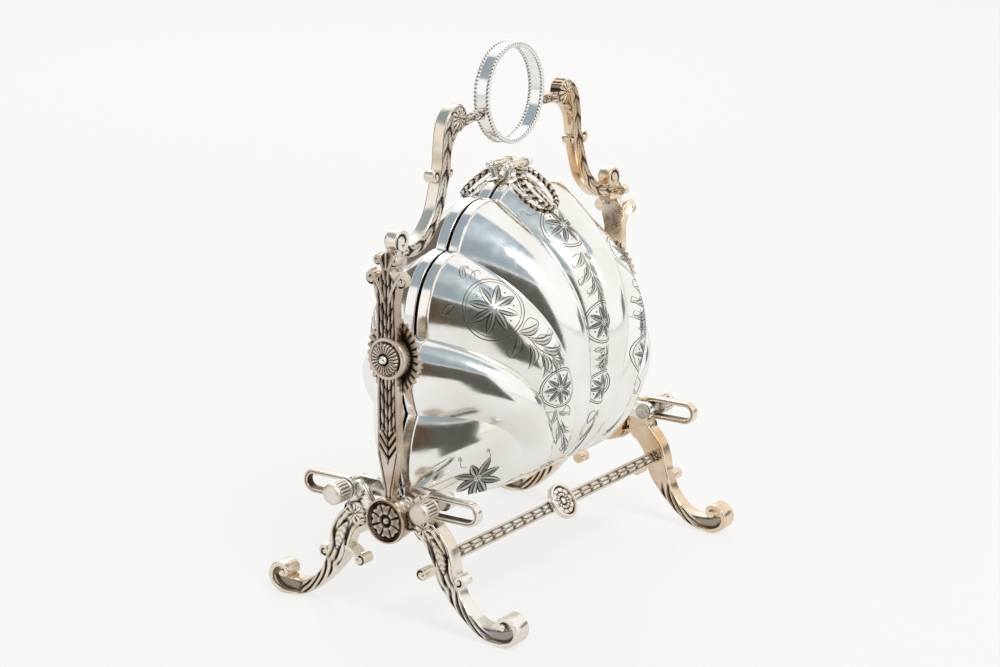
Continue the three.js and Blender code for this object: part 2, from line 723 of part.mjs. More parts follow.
// A point of the skin: a line's angle from upright and the reach along it, which is 0 at the
// flat bottom and 1 at the rim. The lobe's bulge is added square to the body, but along the
// line at the rim.
function skinPoint(angle, reach, inset, base) {
  const { radius, crest } = lobeAt(angle);
  const sideways = Math.abs(angle) / fanEnd;
  const foot = (base - fanHeight) / Math.cos(angle);
  const footSideways = (foot * Math.sin(Math.abs(angle))) / shellHalf;
  const side = sideDepth * (1 - footSideways ** sidePower) - inset;
  const crown = crownDepth * (1 - sideways ** crownPower) - inset;
  const { depth, slope } = bodyDepth(side, crown, reach);
  const endWeight = sideways ** sidePower;
  const span = radius - foot - inset * (1 - endWeight);
  const outward = new THREE.Vector2(-slope, Math.max(span, 0)).normalize();
  const intoDepth = outward.y * (1 - reach ** rimPower);
  const alongLine = (slope > 0 ? -1 : 1) * Math.sqrt(1 - intoDepth ** 2);
  const bulge = crest * reach ** bulgePower;
  const bow = lineBow * reach * (1 - reach) * (1 - endWeight);
  const flat = fanPoint(angle * (1 - bow), foot + reach * span + bulge * alongLine);
  const narrowed = 1 - (inset / shellHalf) * endWeight;
  return new THREE.Vector3(flat.x * narrowed, -(collarDepth + depth + bulge * intoDepth), flat.y);
}

const lobeSteps = 4;
function skinAngles() {
  const half = [];
  notchAngles.slice(1).forEach((end, i) => {
    const start = notchAngles[i];
    for (let k = 1; k <= lobeSteps; k += 1) half.push(start + ((end - start) * k) / lobeSteps);
  });
  const [top] = notchAngles;
  const crest = Array.from({ length: lobeSteps + 1 }, (_, k) => -top + (2 * top * k) / lobeSteps);
  return [...half.map((angle) => -angle).reverse(), ...crest, ...half];
}

const skinReaches = [0, 0.09, 0.25, 0.45, 0.64, 0.8, 0.92, 1];

// The closed outer form of a half, inset all round and filled up to its mouth
function halfBlank(inset, mouth, base) {
  const angles = skinAngles();
  const rows = skinReaches.map((reach) => angles.map((angle) => skinPoint(angle, reach, inset, base)));
  const toMouth = (point) => new THREE.Vector3(point.x, mouth, point.z);
  rows.push(rows[rows.length - 1].map(toMouth), rows[0].map(toMouth));
  const count = rows.length;
  const wide = angles.length;
  const faces = [];
  for (let i = 0; i < count; i += 1) {
    const [row, above] = [i * wide, ((i + 1) % count) * wide];
    for (let j = 0; j < wide - 1; j += 1) {
      faces.push(row + j, above + j + 1, above + j);
      faces.push(row + j, row + j + 1, above + j + 1);
    }
    faces.push((count - 1) * wide, row, above, count * wide - 1, above + wide - 1, row + wide - 1);
  }
  const geometry = new THREE.BufferGeometry().setFromPoints(rows.flat());
  geometry.setIndex(faces);
  return solid(geometry);
}

const grilleAxisHeight = baseHeight + grilleAxisRise;

function shell() {
  const reach = shellRadius + overrun;
  const above = block([-reach, -reach, baseHeight + shellWall], [reach, reach, baseHeight + reach]);
  const inside = halfBlank(shellWall, overrun, baseHeight).intersect(above);
  const body = halfBlank(0, -halfGap, baseHeight).subtract(inside);
  const holes = rodX(grillePinRadius + boreGap, -reach, reach, -grilleReach, grilleAxisHeight, 8);
  return geometryOf(body.subtract(holes));
}

const shellSpace = halfBlank(-seatGap, 0, baseHeight - seatGap);

// Lug: a strap from the lower corner of the rim out to the hinge pin
const lugOuter = legInnerFace - lugOuterGap;
const lugInner = lugOuter - lugThick;
function lug() {
  const top = pinHeight + lugRise;
  const strap = plateX([
    new THREE.Vector2(-lugStart, baseHeight),
    new THREE.Vector2(-lugStart, top),
    new THREE.Vector2(-pinReach, pinHeight + lugEndRadius),
    new THREE.Vector2(-pinReach, pinHeight - lugEndRadius),
  ], lugInner, lugOuter);
  const end = rodX(lugEndRadius, lugInner, lugOuter, -pinReach, pinHeight, 16);
  const bore = rodX(
    pinNeckRadius + boreGap, lugInner - overrun, lugOuter + overrun, -pinReach, pinHeight, 12);
  return geometryOf(cut(strap.add(end), bore, shellSpace));
}

function hingePin() {
  const headOuter = lugInner - seatGap;
  const shoulder = lugOuter + seatGap;
  const studStart = endFace + seatGap;
  const studEnd = endFace + knobStandOff + knobStudDepth;
  const profile = [
    [0, headOuter - pinHeadThick], [pinHeadRadius, headOuter - pinHeadThick], [pinHeadRadius, headOuter],
    [pinNeckRadius, headOuter], [pinNeckRadius, shoulder], [pinRadius, shoulder], [pinRadius, studStart],
    [pinStudRadius, studStart], [pinStudRadius, studEnd], [0, studEnd],
  ];
  return geometryOf(solid(turnedX(profile, 10).translate(0, -pinReach, pinHeight)));
}

const knobCapShares = [[1, 1], [0.7, 0.25]]; // corners of its domed end
function knob() {
  const reeds = 14;
  const outline = Array.from({ length: reeds * 2 }, (_, i) => {
    const turn = (Math.PI * i) / reeds;
    const radius = knobRadius - (i % 2) * reedDepth;
    return new THREE.Vector2(radius * Math.cos(turn) - pinReach, radius * Math.sin(turn) + pinHeight);
  });
  const face = endFace + knobStandOff;
  const end = face + knobLength;
  const barrel = plateX(outline, face, end - knobDome);
  const capRadius = knobRadius - reedDepth;
  const cap = turnedX([
    [0, end - knobDome * 2], [capRadius, end - knobDome * 2],
    ...knobCapShares.map(([radius, depth]) => [capRadius * radius, end - knobDome * depth]),
    [0, end],
  ], 14).translate(0, -pinReach, pinHeight);
  const bore = rodX(
    pinStudRadius + boreGap, face - overrun, face + knobStudDepth + boreGap, -pinReach, pinHeight, 10);
  return geometryOf(cut(barrel.add(solid(cap)), bore));
}

// Ring pulls: a bracket with two ears, a pin with ball ends and an oval wreath on a barrel
const shellTop = fanHeight + shellRadius;
const pullHeight = shellTop + pullRise;
const earInner = pullBarrelHalf + seatGap;
const earOuter = earInner + earThick;

function pullBracket() {
  const footTop = shellTop + seatGap + earFootThick;
  const footBottom = footTop - earFoot;
  const outline = [
    new THREE.Vector2(-halfGap, footBottom), new THREE.Vector2(-halfGap, footTop),
    new THREE.Vector2(-pullReach + earRadius, pullHeight),
    ...Array.from({ length: 5 }, (_, i) => {
      const turn = (Math.PI * (i + 1)) / 6;
      return new THREE.Vector2(
        -pullReach + earRadius * Math.cos(turn), pullHeight + earRadius * Math.sin(turn));
    }),
    new THREE.Vector2(-pullReach - earRadius, pullHeight),
    new THREE.Vector2(-halfGap - earFoot, footTop - earFootThick),
    new THREE.Vector2(-halfGap - earFoot, footBottom),
  ];
  const ears = plateX(outline, earInner, earOuter);
  const otherEars = plateX(outline, -earOuter, -earInner);
  const foot = block([-earOuter, -halfGap - earFoot, footBottom], [earOuter, -halfGap, footTop]);
  const barrelSpace = rodX(
    pullBarrelRadius + seatGap, -earInner, earInner, -pullReach, pullHeight, 14);
  const bore = rodX(
    pullPinRadius + boreGap, -earOuter - overrun, earOuter + overrun, -pullReach, pullHeight, 10);
  return geometryOf(cut(joined(foot, ears, otherEars), barrelSpace, bore, shellSpace));
}

const pullBallShare = 0.8; // middle of a ball end from the ear, as a share of its radius
function pullPin() {
  const ball = earOuter + seatGap + pullBallRadius * pullBallShare;
  const rod = rodX(pullPinRadius, -ball, ball, -pullReach, pullHeight, 8);
  const ends = [-ball, ball].map((x) => solid(
    new THREE.SphereGeometry(pullBallRadius, 8, 6).translate(x, -pullReach, pullHeight)));
  return geometryOf(joined(rod, ...ends));
}

// The wreath hangs along -Y before it is turned down on to the shell
function ringPull() {
  const barrel = rodX(pullBarrelRadius, -pullBarrelHalf, pullBarrelHalf, 0, 0, 12);
  const bore = rodX(pullPinRadius + boreGap, -earInner, earInner, 0, 0, 8);
  const wide = pullHalfWidth - pullTube;
  const inner = pullBarrelRadius + pullTube / 2;
  const long = (pullLength - pullTube - inner) / 2;
  const steps = 22;
  const sides = 6;
  const positions = [];
  const faces = [];
  for (let i = 0; i < steps; i += 1) {
    const turn = (2 * Math.PI * i) / steps;
    const out = new THREE.Vector2(Math.cos(turn) * long, Math.sin(turn) * wide).normalize();
    for (let k = 0; k < sides; k += 1) {
      const roll = (2 * Math.PI * k) / sides;
      const away = pullTube * Math.cos(roll);
      const x = wide * Math.cos(turn) + out.x * away;
      const y = long * Math.sin(turn) + out.y * away;
      positions.push(x, y - inner - long, pullTube * Math.sin(roll));
      const [next, up] = [(i + 1) % steps, (k + 1) % sides];
      faces.push(i * sides + k, next * sides + k, next * sides + up);
      faces.push(i * sides + k, next * sides + up, i * sides + up);
    }
  }
  const wreath = new THREE.BufferGeometry();
  wreath.setAttribute('position', new THREE.Float32BufferAttribute(positions, 3));
  wreath.setIndex(faces);
  return geometryOf(cut(solid(wreath).add(barrel), bore));
}

// How far the pull turns down before its tube meets the skin of the top lobe
function pullDroop() {
  const skin = [new THREE.Vector2(-halfGap, shellTop)];
  const skinSteps = 60;
  for (let i = 0; i <= skinSteps; i += 1) {
    const point = skinPoint(0, crownShare + ((1 - crownShare) * i) / skinSteps, 0, baseHeight);
    skin.push(new THREE.Vector2(point.y, point.z));
  }
  const spine = [pullHalfWidth, pullLength - pullTube];
  const finestTurn = 0.002;
  for (let droop = 0; droop < Math.PI / 2; droop += finestTurn) {
    for (let along = spine[0]; along <= spine[1]; along += pullTube / 2) {
      const at = new THREE.Vector2(
        -pullReach - along * Math.cos(droop), pullHeight - along * Math.sin(droop));
      if (skin.some((point) => point.distanceTo(at) < pullTube + seatGap)) return droop;
    }
  }
  return Math.PI / 2;
}

// Grille: a pierced plate inside the rim that swings on two pins at its foot
const grilleInset = shellWall + grilleRimGap;
const grilleHalf = shellHalf - grilleInset;
const piercedShares = [[0.28, 0.52, 0.0184], [0.58, 0.9, 0.0318]];
const piercingTaper = 0.35;
const piercingSides = 8;
const grilleKnobShare = 0.955;

// A pear-shaped hole between two shares of the way from the flat bottom to the rim
function piercing(angle, fromShare, toShare, half) {
  const foot = fanDrop / Math.cos(angle);
  const way = rimRadius(angle) - grilleRimWidth - foot;
  const long = ((toShare - fromShare) * way) / 2;
  const middle = foot + ((toShare + fromShare) * way) / 2;
  return Array.from({ length: piercingSides }, (_, i) => {
    const turn = (2 * Math.PI * i) / piercingSides;
    const across = half * (1 + piercingTaper * Math.cos(turn)) * Math.sin(turn);
    const point = fanPoint(angle, middle + long * Math.cos(turn));
    return point.add(new THREE.Vector2(across * Math.cos(angle), -across * Math.sin(angle)));
  });
}

function grille() {
  const [near, far] = [-grilleReach - grilleThick / 2, -grilleReach + grilleThick / 2];
  const lobeMiddles = notchAngles.slice(1).map((end, i) => (end + notchAngles[i]) / 2);
  const angles = [...lobeMiddles.map((angle) => -angle), 0, ...lobeMiddles];
  const barrelTop = grilleAxisHeight + grilleBarrelRadius;
  const holes = angles
    .flatMap((angle) => piercedShares.map(
      ([from, to, half]) => piercing(angle, from, to, half * shellRadius)))
    .filter((hole) => hole.every((point) => point.y > barrelTop));
  const outline = skinAngles().map((angle) => fanPoint(angle, rimRadius(angle) - grilleInset));
  const plate = plateY(outline, near, far, holes);
  const below = block([-shellRadius, -shellRadius, 0], [shellRadius, shellRadius, grilleAxisHeight]);
  const barrel = rodX(grilleBarrelRadius, -grilleHalf, grilleHalf, -grilleReach, grilleAxisHeight, 10);
  const bores = [-1, 1].map((side) => {
    const ends = [side * (grilleHalf + overrun), side * (grilleHalf - grillePinGrip - boreGap)];
    return rodX(
      grillePinRadius + boreGap, Math.min(...ends), Math.max(...ends), -grilleReach, grilleAxisHeight, 8);
  });
  const knobHole = plateY(
    circle(0, grilleKnobHeight, grilleKnobStem + boreGap, 8), near - overrun, far + overrun);
  return geometryOf(cut(joined(plate.subtract(below), barrel), ...bores, knobHole));
}

const grilleKnobHeight = baseHeight + grilleKnobShare * (shellTop - grilleRimWidth - baseHeight);

function grillePin() {
  return geometryOf(
    rodX(grillePinRadius, grilleHalf - grillePinGrip, shellHalf, -grilleReach, grilleAxisHeight, 8));
}

function grilleKnob() {
  const face = -grilleReach + grilleThick / 2 + seatGap;
  const stem = face - seatGap * 2 - grilleThick - grilleKnobStem / 2;
  const headShares = [[0.6, 0], [1, 0.5], [0.8, 0.9], [0, 1]];
  const profile = [
    new THREE.Vector2(0, stem),
    new THREE.Vector2(grilleKnobStem, stem),
    new THREE.Vector2(grilleKnobStem, face),
    ...headShares.map(([radius, along]) => new THREE.Vector2(
      radius * grilleKnobRadius, face + along * grilleKnobLength)),
  ];
  return geometryOf(solid(new THREE.LatheGeometry(profile, 8).translate(0, 0, grilleKnobHeight)));
}

// Assembly: each end frame and each half is built once and turned half round for the other
const legGeometry = legFrame();
const uprightGeometry = upright();
const endPieces = [
  ['leg_frame', legGeometry, cast],
  ['upright', uprightGeometry, cast],
  ['gadroon_disc', gadroonDisc(), cast],
  ['upper_rosette', upperRosette(), cast],
  ['bead_pin', beadPin(), cast],
  ['lower_rosette', lowerRosette(), cast],
  ['frame_nut', frameNut(), steel],
  ['handle_arm', handleArm(), cast],
  ['seat_screw', seatScrew(), steel],
];
for (const [side, turn] of [['right', 0], ['left', Math.PI]]) {
  const end = new THREE.Group();
  end.rotation.z = turn;
  model.add(end);
  for (const [name, geometry, finish] of endPieces) addMesh(end, `${name}_${side}`, geometry, finish);
}
addMesh(model, 'handle_ring', handleRing(), cast);

const stretcherGeometry = geometryOf(stretcherBlank());
const stretcherRosetteGeometry = stretcherRosette();
const shellGeometry = shell();
const bracketGeometry = pullBracket();
const pullPinGeometry = pullPin();
const pullGeometry = ringPull();
const grilleGeometry = grille();
const grilleKnobGeometry = grilleKnob();
const droop = pullDroop();
const cornerPieces = [
  ['shell_lug', lug(), polished],
  ['hinge_pin', hingePin(), steel],
  ['knob', knob(), frosted],
  ['grille_pin', grillePin(), steel],
];
for (const [side, turn] of [['front', 0], ['back', Math.PI]]) {
  const half = new THREE.Group();
  half.rotation.z = turn;
  model.add(half);

  const brace = new THREE.Group();
  brace.position.set(0, -stretcherReach, stretcherHeight);
  brace.rotation.x = -stretcherTilt;
  half.add(brace);
  addMesh(brace, `stretcher_${side}`, stretcherGeometry, cast);
  addMesh(brace, `stretcher_rosette_${side}`, stretcherRosetteGeometry, cast);

  addMesh(half, `shell_${side}`, shellGeometry, polished);
  addMesh(half, `pull_bracket_${side}`, bracketGeometry, polished);
  addMesh(half, `pull_pin_${side}`, pullPinGeometry, polished);
  const pull = addMesh(half, `ring_pull_${side}`, pullGeometry, cast);
  pull.position.set(0, -pullReach, pullHeight);
  pull.rotation.x = droop;
  addMesh(half, `grille_${side}`, grilleGeometry, polished);
  addMesh(half, `grille_knob_${side}`, grilleKnobGeometry, polished);

  for (const [name, geometry, finish] of cornerPieces) {
    for (const way of [-1, 1]) {
      const right = side === 'front' ? way > 0 : way < 0;
      const corner = `${name}_${side}_${right ? 'right' : 'left'}`;
      addMesh(half, corner, way > 0 ? geometry : mirrored(geometry, -1, 1), finish);
    }
  }
}

export default model;
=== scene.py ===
# %% [markdown]
# # A folding biscuit box in silver plate
# The real box is a scallop of two lobed half shells that tilt open between two cast end
# frames, under a scrolled handle with a ring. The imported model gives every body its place
# and its joints. This lesson dresses it with fine surfaces worked out in numpy: a formula
# gives all points of a surface at once, so a finer mesh costs one number.

import math

import bmesh
import bpy
import numpy as np
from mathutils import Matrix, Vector


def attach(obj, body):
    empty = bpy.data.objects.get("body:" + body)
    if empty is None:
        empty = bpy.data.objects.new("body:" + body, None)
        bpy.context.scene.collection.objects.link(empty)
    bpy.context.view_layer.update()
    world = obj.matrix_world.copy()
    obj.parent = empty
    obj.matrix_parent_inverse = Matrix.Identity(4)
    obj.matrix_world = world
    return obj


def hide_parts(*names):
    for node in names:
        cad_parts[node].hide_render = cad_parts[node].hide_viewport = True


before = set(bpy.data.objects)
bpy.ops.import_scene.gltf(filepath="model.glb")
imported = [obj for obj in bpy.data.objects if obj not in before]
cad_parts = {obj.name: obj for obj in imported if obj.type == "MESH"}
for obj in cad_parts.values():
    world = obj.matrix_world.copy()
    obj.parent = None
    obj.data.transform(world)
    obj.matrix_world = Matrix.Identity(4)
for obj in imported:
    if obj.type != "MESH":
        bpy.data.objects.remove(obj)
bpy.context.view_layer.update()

# %% [markdown]
# ## The camera
# The photograph looks down a little on the left end of the box from about 1.25 m with a
# long lens. The camera was fitted to known points of the box, and it comes first, because
# every later choice is judged through it.

# %% Camera
scene = bpy.context.scene
camera = bpy.data.objects.new("camera", bpy.data.cameras.new("camera"))
scene.collection.objects.link(camera)
aim = Vector((-0.0026, 0.0038, 0.1199))
away = Vector((-1.0041, -0.6773, 0.4394))
camera.location = away
camera.rotation_euler = (aim - away).to_track_quat("-Z", "Y").to_euler()
camera.data.lens, camera.data.sensor_width = 90, 36
scene.camera = camera
scene.view_settings.view_transform = "Standard"
print("camera stands", round((away - aim).length, 3), "m from the box")

# %% [markdown]
# ## Colours and nodes
# Colours are written as the hex values that a screen shows. The renderer wants linear
# light, so one function turns them. A second one adds a node with its settings and links.

# %% Colour and node helpers
def linear(code):
    """Linear red, green and blue of a hex colour: the sRGB curve undone."""
    raw = np.array([int(code[i : i + 2], 16) for i in (1, 3, 5)]) / 255
    low, high = raw / 12.92, ((raw + 0.055) / 1.055) ** 2.4
    return tuple(np.where(raw <= 0.04045, low, high)) + (1.0,)


def add(tree, kind, inputs=None, **settings):
    """Adds a node, sets its options, and sets or links its sockets."""
    node = tree.nodes.new("ShaderNode" + kind)
    for option, value in settings.items():
        setattr(node, option, value)
    for socket, value in (inputs or {}).items():
        if isinstance(value, bpy.types.NodeSocket):
            tree.links.new(value, node.inputs[socket])
        else:
            node.inputs[socket].default_value = value
    return node


def new_material(name):
    """An empty node material and its tree."""
    material = bpy.data.materials.new(name)
    material.use_nodes = True
    material.node_tree.nodes.clear()
    return material, material.node_tree


print("white is", linear("#FFFFFF"), "in linear light")

# %% [markdown]
# ## The studio
# Polished silver shows its surroundings and hardly anything else, so the studio is made
# first. The world is white to the eye and in reflections, but weaker in the light that the
# floor gathers, so that a soft shadow stays under the box.

# %% World
world = bpy.data.worlds.new("studio")
scene.world = world
world.use_nodes = True
tree = world.node_tree
tree.nodes.clear()
path = add(tree, "LightPath")
seen = path.outputs["Is Camera Ray"]
for ray in ("Is Glossy Ray", "Is Transmission Ray"):
    seen = add(tree, "Math", {0: seen, 1: path.outputs[ray]}, operation="MAXIMUM").outputs[0]
world_seen, world_gathered = 1.0, 0.55
white = add(tree, "Background", {"Color": linear("#FFFFFF"), "Strength": world_seen})
soft = add(tree, "Background", {"Color": linear("#F4F6FA"), "Strength": world_gathered})
mixed = add(tree, "MixShader", {0: seen, 1: soft.outputs[0], 2: white.outputs[0]})
add(tree, "OutputWorld", {"Surface": mixed.outputs[0]})
print("the world has strength", world_seen, "to the eye and", world_gathered, "as light")

# %% [markdown]
# A glowing floor would be pure white but take no shadow, and a matt one alone comes out
# grey. So the floor is matt and adds a share of glow, for the camera and for reflections.

# %% Floor
def stage_mesh(name, points, faces, material):
    """A mesh that belongs to the studio, and not to the box."""
    mesh = bpy.data.meshes.new(name)
    mesh.from_pydata(points, [], faces)
    mesh.materials.append(material)
    thing = bpy.data.objects.new(name, mesh)
    scene.collection.objects.link(thing)
    return thing


# The floor is matt and keeps a shadow; part of it glows for the camera and in reflections
floor_reach, glow_seen, glow_mirrored = 14.0, 0.72, 0.4
floor_paint, tree = new_material("floor_paint")
matt = add(tree, "BsdfDiffuse", {"Color": linear("#F2F2F0")})
glow = add(tree, "Emission", {"Color": linear("#FFFFFF"), "Strength": 1.0})
path = add(tree, "LightPath")
share = add(tree, "Math", {0: path.outputs["Is Glossy Ray"], 1: glow_mirrored},
            operation="MULTIPLY")
share = add(tree, "Math", {0: path.outputs["Is Camera Ray"], 1: glow_seen, 2: share.outputs[0]},
            operation="MULTIPLY_ADD")
floor_mix = add(tree, "MixShader", {0: share.outputs[0], 1: matt.outputs[0], 2: glow.outputs[0]})
add(tree, "OutputMaterial", {"Surface": floor_mix.outputs[0]})
corners = [(x * floor_reach, y * floor_reach, 0) for x, y in ((-1, -1), (1, -1), (1, 1), (-1, 1))]
stage_mesh("floor", corners, [range(4)], floor_paint)
print("the floor reaches", floor_reach, "m each way")

# %% [markdown]
# Two large square lamps draw soft highlights on the castings. Small ones would burn hard
# white spots into a mirror like this.

# %% Lamps
def lamp(name, place, size, power, colour):
    """A soft square lamp that points at the box."""
    light = bpy.data.lights.new(name, "AREA")
    light.size, light.energy, light.color = size, power, linear(colour)[:3]
    holder = bpy.data.objects.new(name, light)
    holder.location = place
    holder.rotation_euler = (aim - holder.location).to_track_quat("-Z", "Y").to_euler()
    scene.collection.objects.link(holder)


lamp("key_lamp", (-0.6, -1.6, 2.2), 1.2, 26, "#FFFFFF")
lamp("back_lamp", (1.6, 1.4, 1.9), 1.4, 20, "#FFF1E2")
print("a key lamp stands in front and a warm one behind")

# %% [markdown]
# ## Cards for the reflections
# White alone would leave the skins blank. Seven curved cards hang round the box: dark ones
# low down stand for a dim room, blue-grey ones above them for the sky, and two grey ones
# stand on the other sides. A dark sheet over the floor joins the room. Only reflections see
# them: the camera, the shadows and the floor don't.

# %% Cards
def grid_faces(rows, columns, close_rows=False, close_columns=False):
    """Quads of a grid numbered row by row; a closed way joins its last line to its first."""
    i, j = np.arange(rows - (not close_rows)), np.arange(columns - (not close_columns))
    i, j = np.meshgrid(i, j, indexing="ij")
    down, right = (i + 1) % rows, (j + 1) % columns
    quads = [i * columns + j, down * columns + j, down * columns + right, i * columns + right]
    return np.stack(quads, -1).reshape(-1, 4)


def only_mirrored(thing):
    """Hides a studio piece from everything but reflections."""
    thing.visible_camera = thing.visible_diffuse = thing.visible_shadow = False


def card(name, azimuth, elevation, distance, colour, steps=16):
    """A curved screen round the box between two azimuths and two elevations in degrees."""
    paint, tree = new_material(name + "_paint")
    light = add(tree, "Emission", {"Color": linear(colour), "Strength": 1.0})
    add(tree, "OutputMaterial", {"Surface": light.outputs[0]})
    turn = np.radians(np.linspace(*azimuth, steps))
    rise = np.radians(np.linspace(*elevation, steps))
    turn, rise = np.meshgrid(turn, rise, indexing="ij")
    points = distance * np.stack(
        [np.cos(turn) * np.cos(rise), np.sin(turn) * np.cos(rise), np.sin(rise)], -1)
    points = (points + np.array(aim)).reshape(-1, 3)
    only_mirrored(stage_mesh(name, points.tolist(), grid_faces(steps, steps).tolist(), paint))
    return paint


dim_paint = card("dim_room", (-149.5, -120), (-4, 25), 1.9, "#5C5C57")
card("brown_door", (-164, -149), (-4, 26), 1.92, "#5B4A3A")
card("window_sky", (-158, -117), (27, 50), 1.9, "#98A6B0")
card("high_sky", (-152, -66), (49, 78), 1.92, "#A2B2BD")
card("left_sky", (84, 166), (31, 66), 1.9, "#9DABB5")
card("low_shade", (-48, -24), (-2, 9), 1.9, "#7D8186")
card("far_shade", (60, 118), (-4, 26), 2.2, "#6E675E")
turn = np.radians(np.linspace(-144, -120, 12))
near_edge, far_edge = (
    np.stack([r * np.cos(turn), r * np.sin(turn), 0 * turn + 0.003], -1) for r in (0.34, 1.9))
bench = np.concatenate([near_edge, far_edge[::-1]]).tolist()
only_mirrored(stage_mesh("bench_shade", bench, [range(len(bench))], dim_paint))
print("the reflection cards hang round the box")

# %% [markdown]
# ## Finishes
# The box is electroplated silver over cast and spun metal. The skins are polished like a
# mirror, with a faint warm tarnish and hairline wear from cleaning. The castings were
# dipped dark and rubbed bright again, so their recesses stay brown-black. Every relief
# surface below carries its own depth as a point attribute called recess, and the finish
# reads that, so the dark lies in the hollows. In a few places the same value also holds
# painted shade.

# %% Finish helpers
def wear(tree, scale, detail=3.0):
    """A cloudy pattern on object coordinates; the scale is in patches per metre."""
    place = add(tree, "TexCoord").outputs["Object"]
    return add(tree, "TexNoise", {"Vector": place, "Scale": scale, "Detail": detail}).outputs["Fac"]


def silver(name, bright, dim, dark, roughness, grain=400.0, bump=0.0003, patch=28.0):
    """Silver plate: bright with dim clouds, dark in the recess, rougher where it is dark.
    A patch of 28 a metre is a cloud 36 mm wide, as tarnish spreads. A grain of 400 a metre
    is 2.5 mm: real hairlines are finer and wouldn't show, so the grain is drawn as coarse
    as it needs to be to break the gloss. The bump is the grain's height in metres."""
    material, tree = new_material(name)
    tint = add(tree, "MapRange", {"Value": wear(tree, patch), "From Min": 0.38, "From Max": 0.68})
    base = add(tree, "Mix", {0: tint.outputs[0], 6: linear(bright), 7: linear(dim)},
               data_type="RGBA")
    hollow = add(tree, "Attribute", attribute_name="recess").outputs["Fac"]
    depth = add(tree, "MapRange", {"Value": hollow, "From Min": 0.15, "From Max": 0.95})
    colour = add(tree, "Mix", {0: depth.outputs[0], 6: base.outputs[2], 7: linear(dark)},
                 data_type="RGBA")
    fine = wear(tree, grain, 6.0)
    dull = add(tree, "MapRange", {"Value": fine, "From Min": 0.3, "From Max": 0.7,
                                  "To Min": roughness[0], "To Max": roughness[1]})
    rough = add(tree, "MapRange", {"Value": depth.outputs[0], "To Min": 0.0, "To Max": 0.35})
    rough = add(tree, "Math", {0: dull.outputs[0], 1: rough.outputs[0]}, operation="ADD")
    relief = add(tree, "Bump", {"Height": fine, "Strength": 0.5, "Distance": bump})
    skin = add(tree, "BsdfPrincipled", {
        "Base Color": colour.outputs[2], "Metallic": 1.0, "Roughness": rough.outputs[0],
        "Normal": relief.outputs[0]})
    add(tree, "OutputMaterial", {"Surface": skin.outputs[0]})
    return material


print("a silver finish can be made")

# %% [markdown]
# The finishes differ in their colours, their gloss and the size of their clouds, so one
# recipe makes all of them. The darkest colour of each is its tarnish, and the two pale
# ones are its clouds.

# %% The eight finishes
# Spun and polished silver plate: a mirror, warm where it has begun to tarnish
polished_silver = silver(
    "polished_silver", "#FAF9F6", "#F0ECE3", "#4A4038", (0.09, 0.17), grain=260.0, bump=0.00002)
# Cast silver plate, oxidised and rubbed back: bright edges over brown-black hollows
cast_silver = silver("cast_silver", "#F6F0E6", "#E0CFB6", "#3A2B20", (0.12, 0.24), bump=0.00006)
# Painted shade: the right end lies in shade, so its castings take a warmer, darker copy of the cast
# finish
shaded_far_silver = silver(
    "shaded_far_silver", "#F5E7D2", "#DDB384", "#46301F", (0.13, 0.25), bump=0.00006, patch=45.0)
# The same casting where no cloth reaches: the tarnish stays between the fine leaves
dark_silver = silver(
    "dark_silver", "#DCD0C2", "#B7A18B", "#30231A", (0.17, 0.32), bump=0.00008, patch=70.0)
# Pierced sheet that is only brushed, so it is softer than the shells
brushed_silver = silver(
    "brushed_silver", "#EAE6DD", "#D8CFBF", "#4A4038", (0.24, 0.36), grain=700.0, bump=0.00008)
# Silver left matt from the casting sand and touched every day
frosted_silver = silver(
    "frosted_silver", "#F2EAE2", "#E2D2C2", "#5E4A34", (0.36, 0.52), grain=900.0, bump=0.0002)
# Nickel-plated steel of the screws, nuts and hinge pins
plain_steel = silver("plain_steel", "#C9C4B8", "#A89F90", "#3C362F", (0.25, 0.4), bump=0.0001)
# A graver's cut: burnished at its edges, grey with old polish at its bottom
engraved_cut = silver("engraved_cut", "#EFECE6", "#E2DDD3", "#231E1A", (0.13, 0.24), bump=0.00005)
print("eight finishes are made")

# %% [markdown]
# ## Meshes from arrays
# Every new piece is one or more closed surfaces. A surface is a grid of points in
# millimetres with a recess value for each point. The helper joins them, merges doubled
# points at poles and seams, turns every face outwards and hands the piece to its body.
# Most pieces come in pairs, one turned half round the upright axis from the other.

# %% Surfaces
def surface(points, recess=0.0, close_rows=False, close_columns=True):
    """A grid of points (rows, columns, 3) with its quads and the recess of each point."""
    rows, columns = points.shape[:2]
    hollow = np.broadcast_to(np.asarray(recess, float), (rows, columns)).reshape(-1)
    return points.reshape(-1, 3), grid_faces(rows, columns, close_rows, close_columns), hollow


def capped(points, hollow):
    """Closes a run of rings: one more ring at each end, drawn in to its own middle."""
    first, last = points[:1].mean(1, keepdims=True), points[-1:].mean(1, keepdims=True)
    ends = [np.broadcast_to(end, points[:1].shape) for end in (first, last)]
    hollow = np.broadcast_to(np.asarray(hollow, float), points.shape[:2])
    return (np.concatenate([ends[0], points, ends[1]]),
            np.concatenate([hollow[:1], hollow, hollow[-1:]]))


def mirrored(parts, way):
    """The same surfaces mirrored; the faces are turned outwards again when the piece is made."""
    return [(p * way, q, h) for p, q, h in parts]


def turned_half(parts):
    """The same surfaces turned half round the upright axis."""
    return mirrored(parts, [-1, -1, 1])


print("surfaces can be closed, mirrored and turned")

# %% [markdown]
# Doubled points are merged before the normals are worked out, because only a closed
# surface has an outside. Sharp edges come from an angle, so a curved face shades smoothly
# while the rim of a casting stays crisp.

# %% Pieces
millimetre, merge_distance = 0.001, 2e-6
HALVES, ENDS = ("front", "back"), ("right", "left")


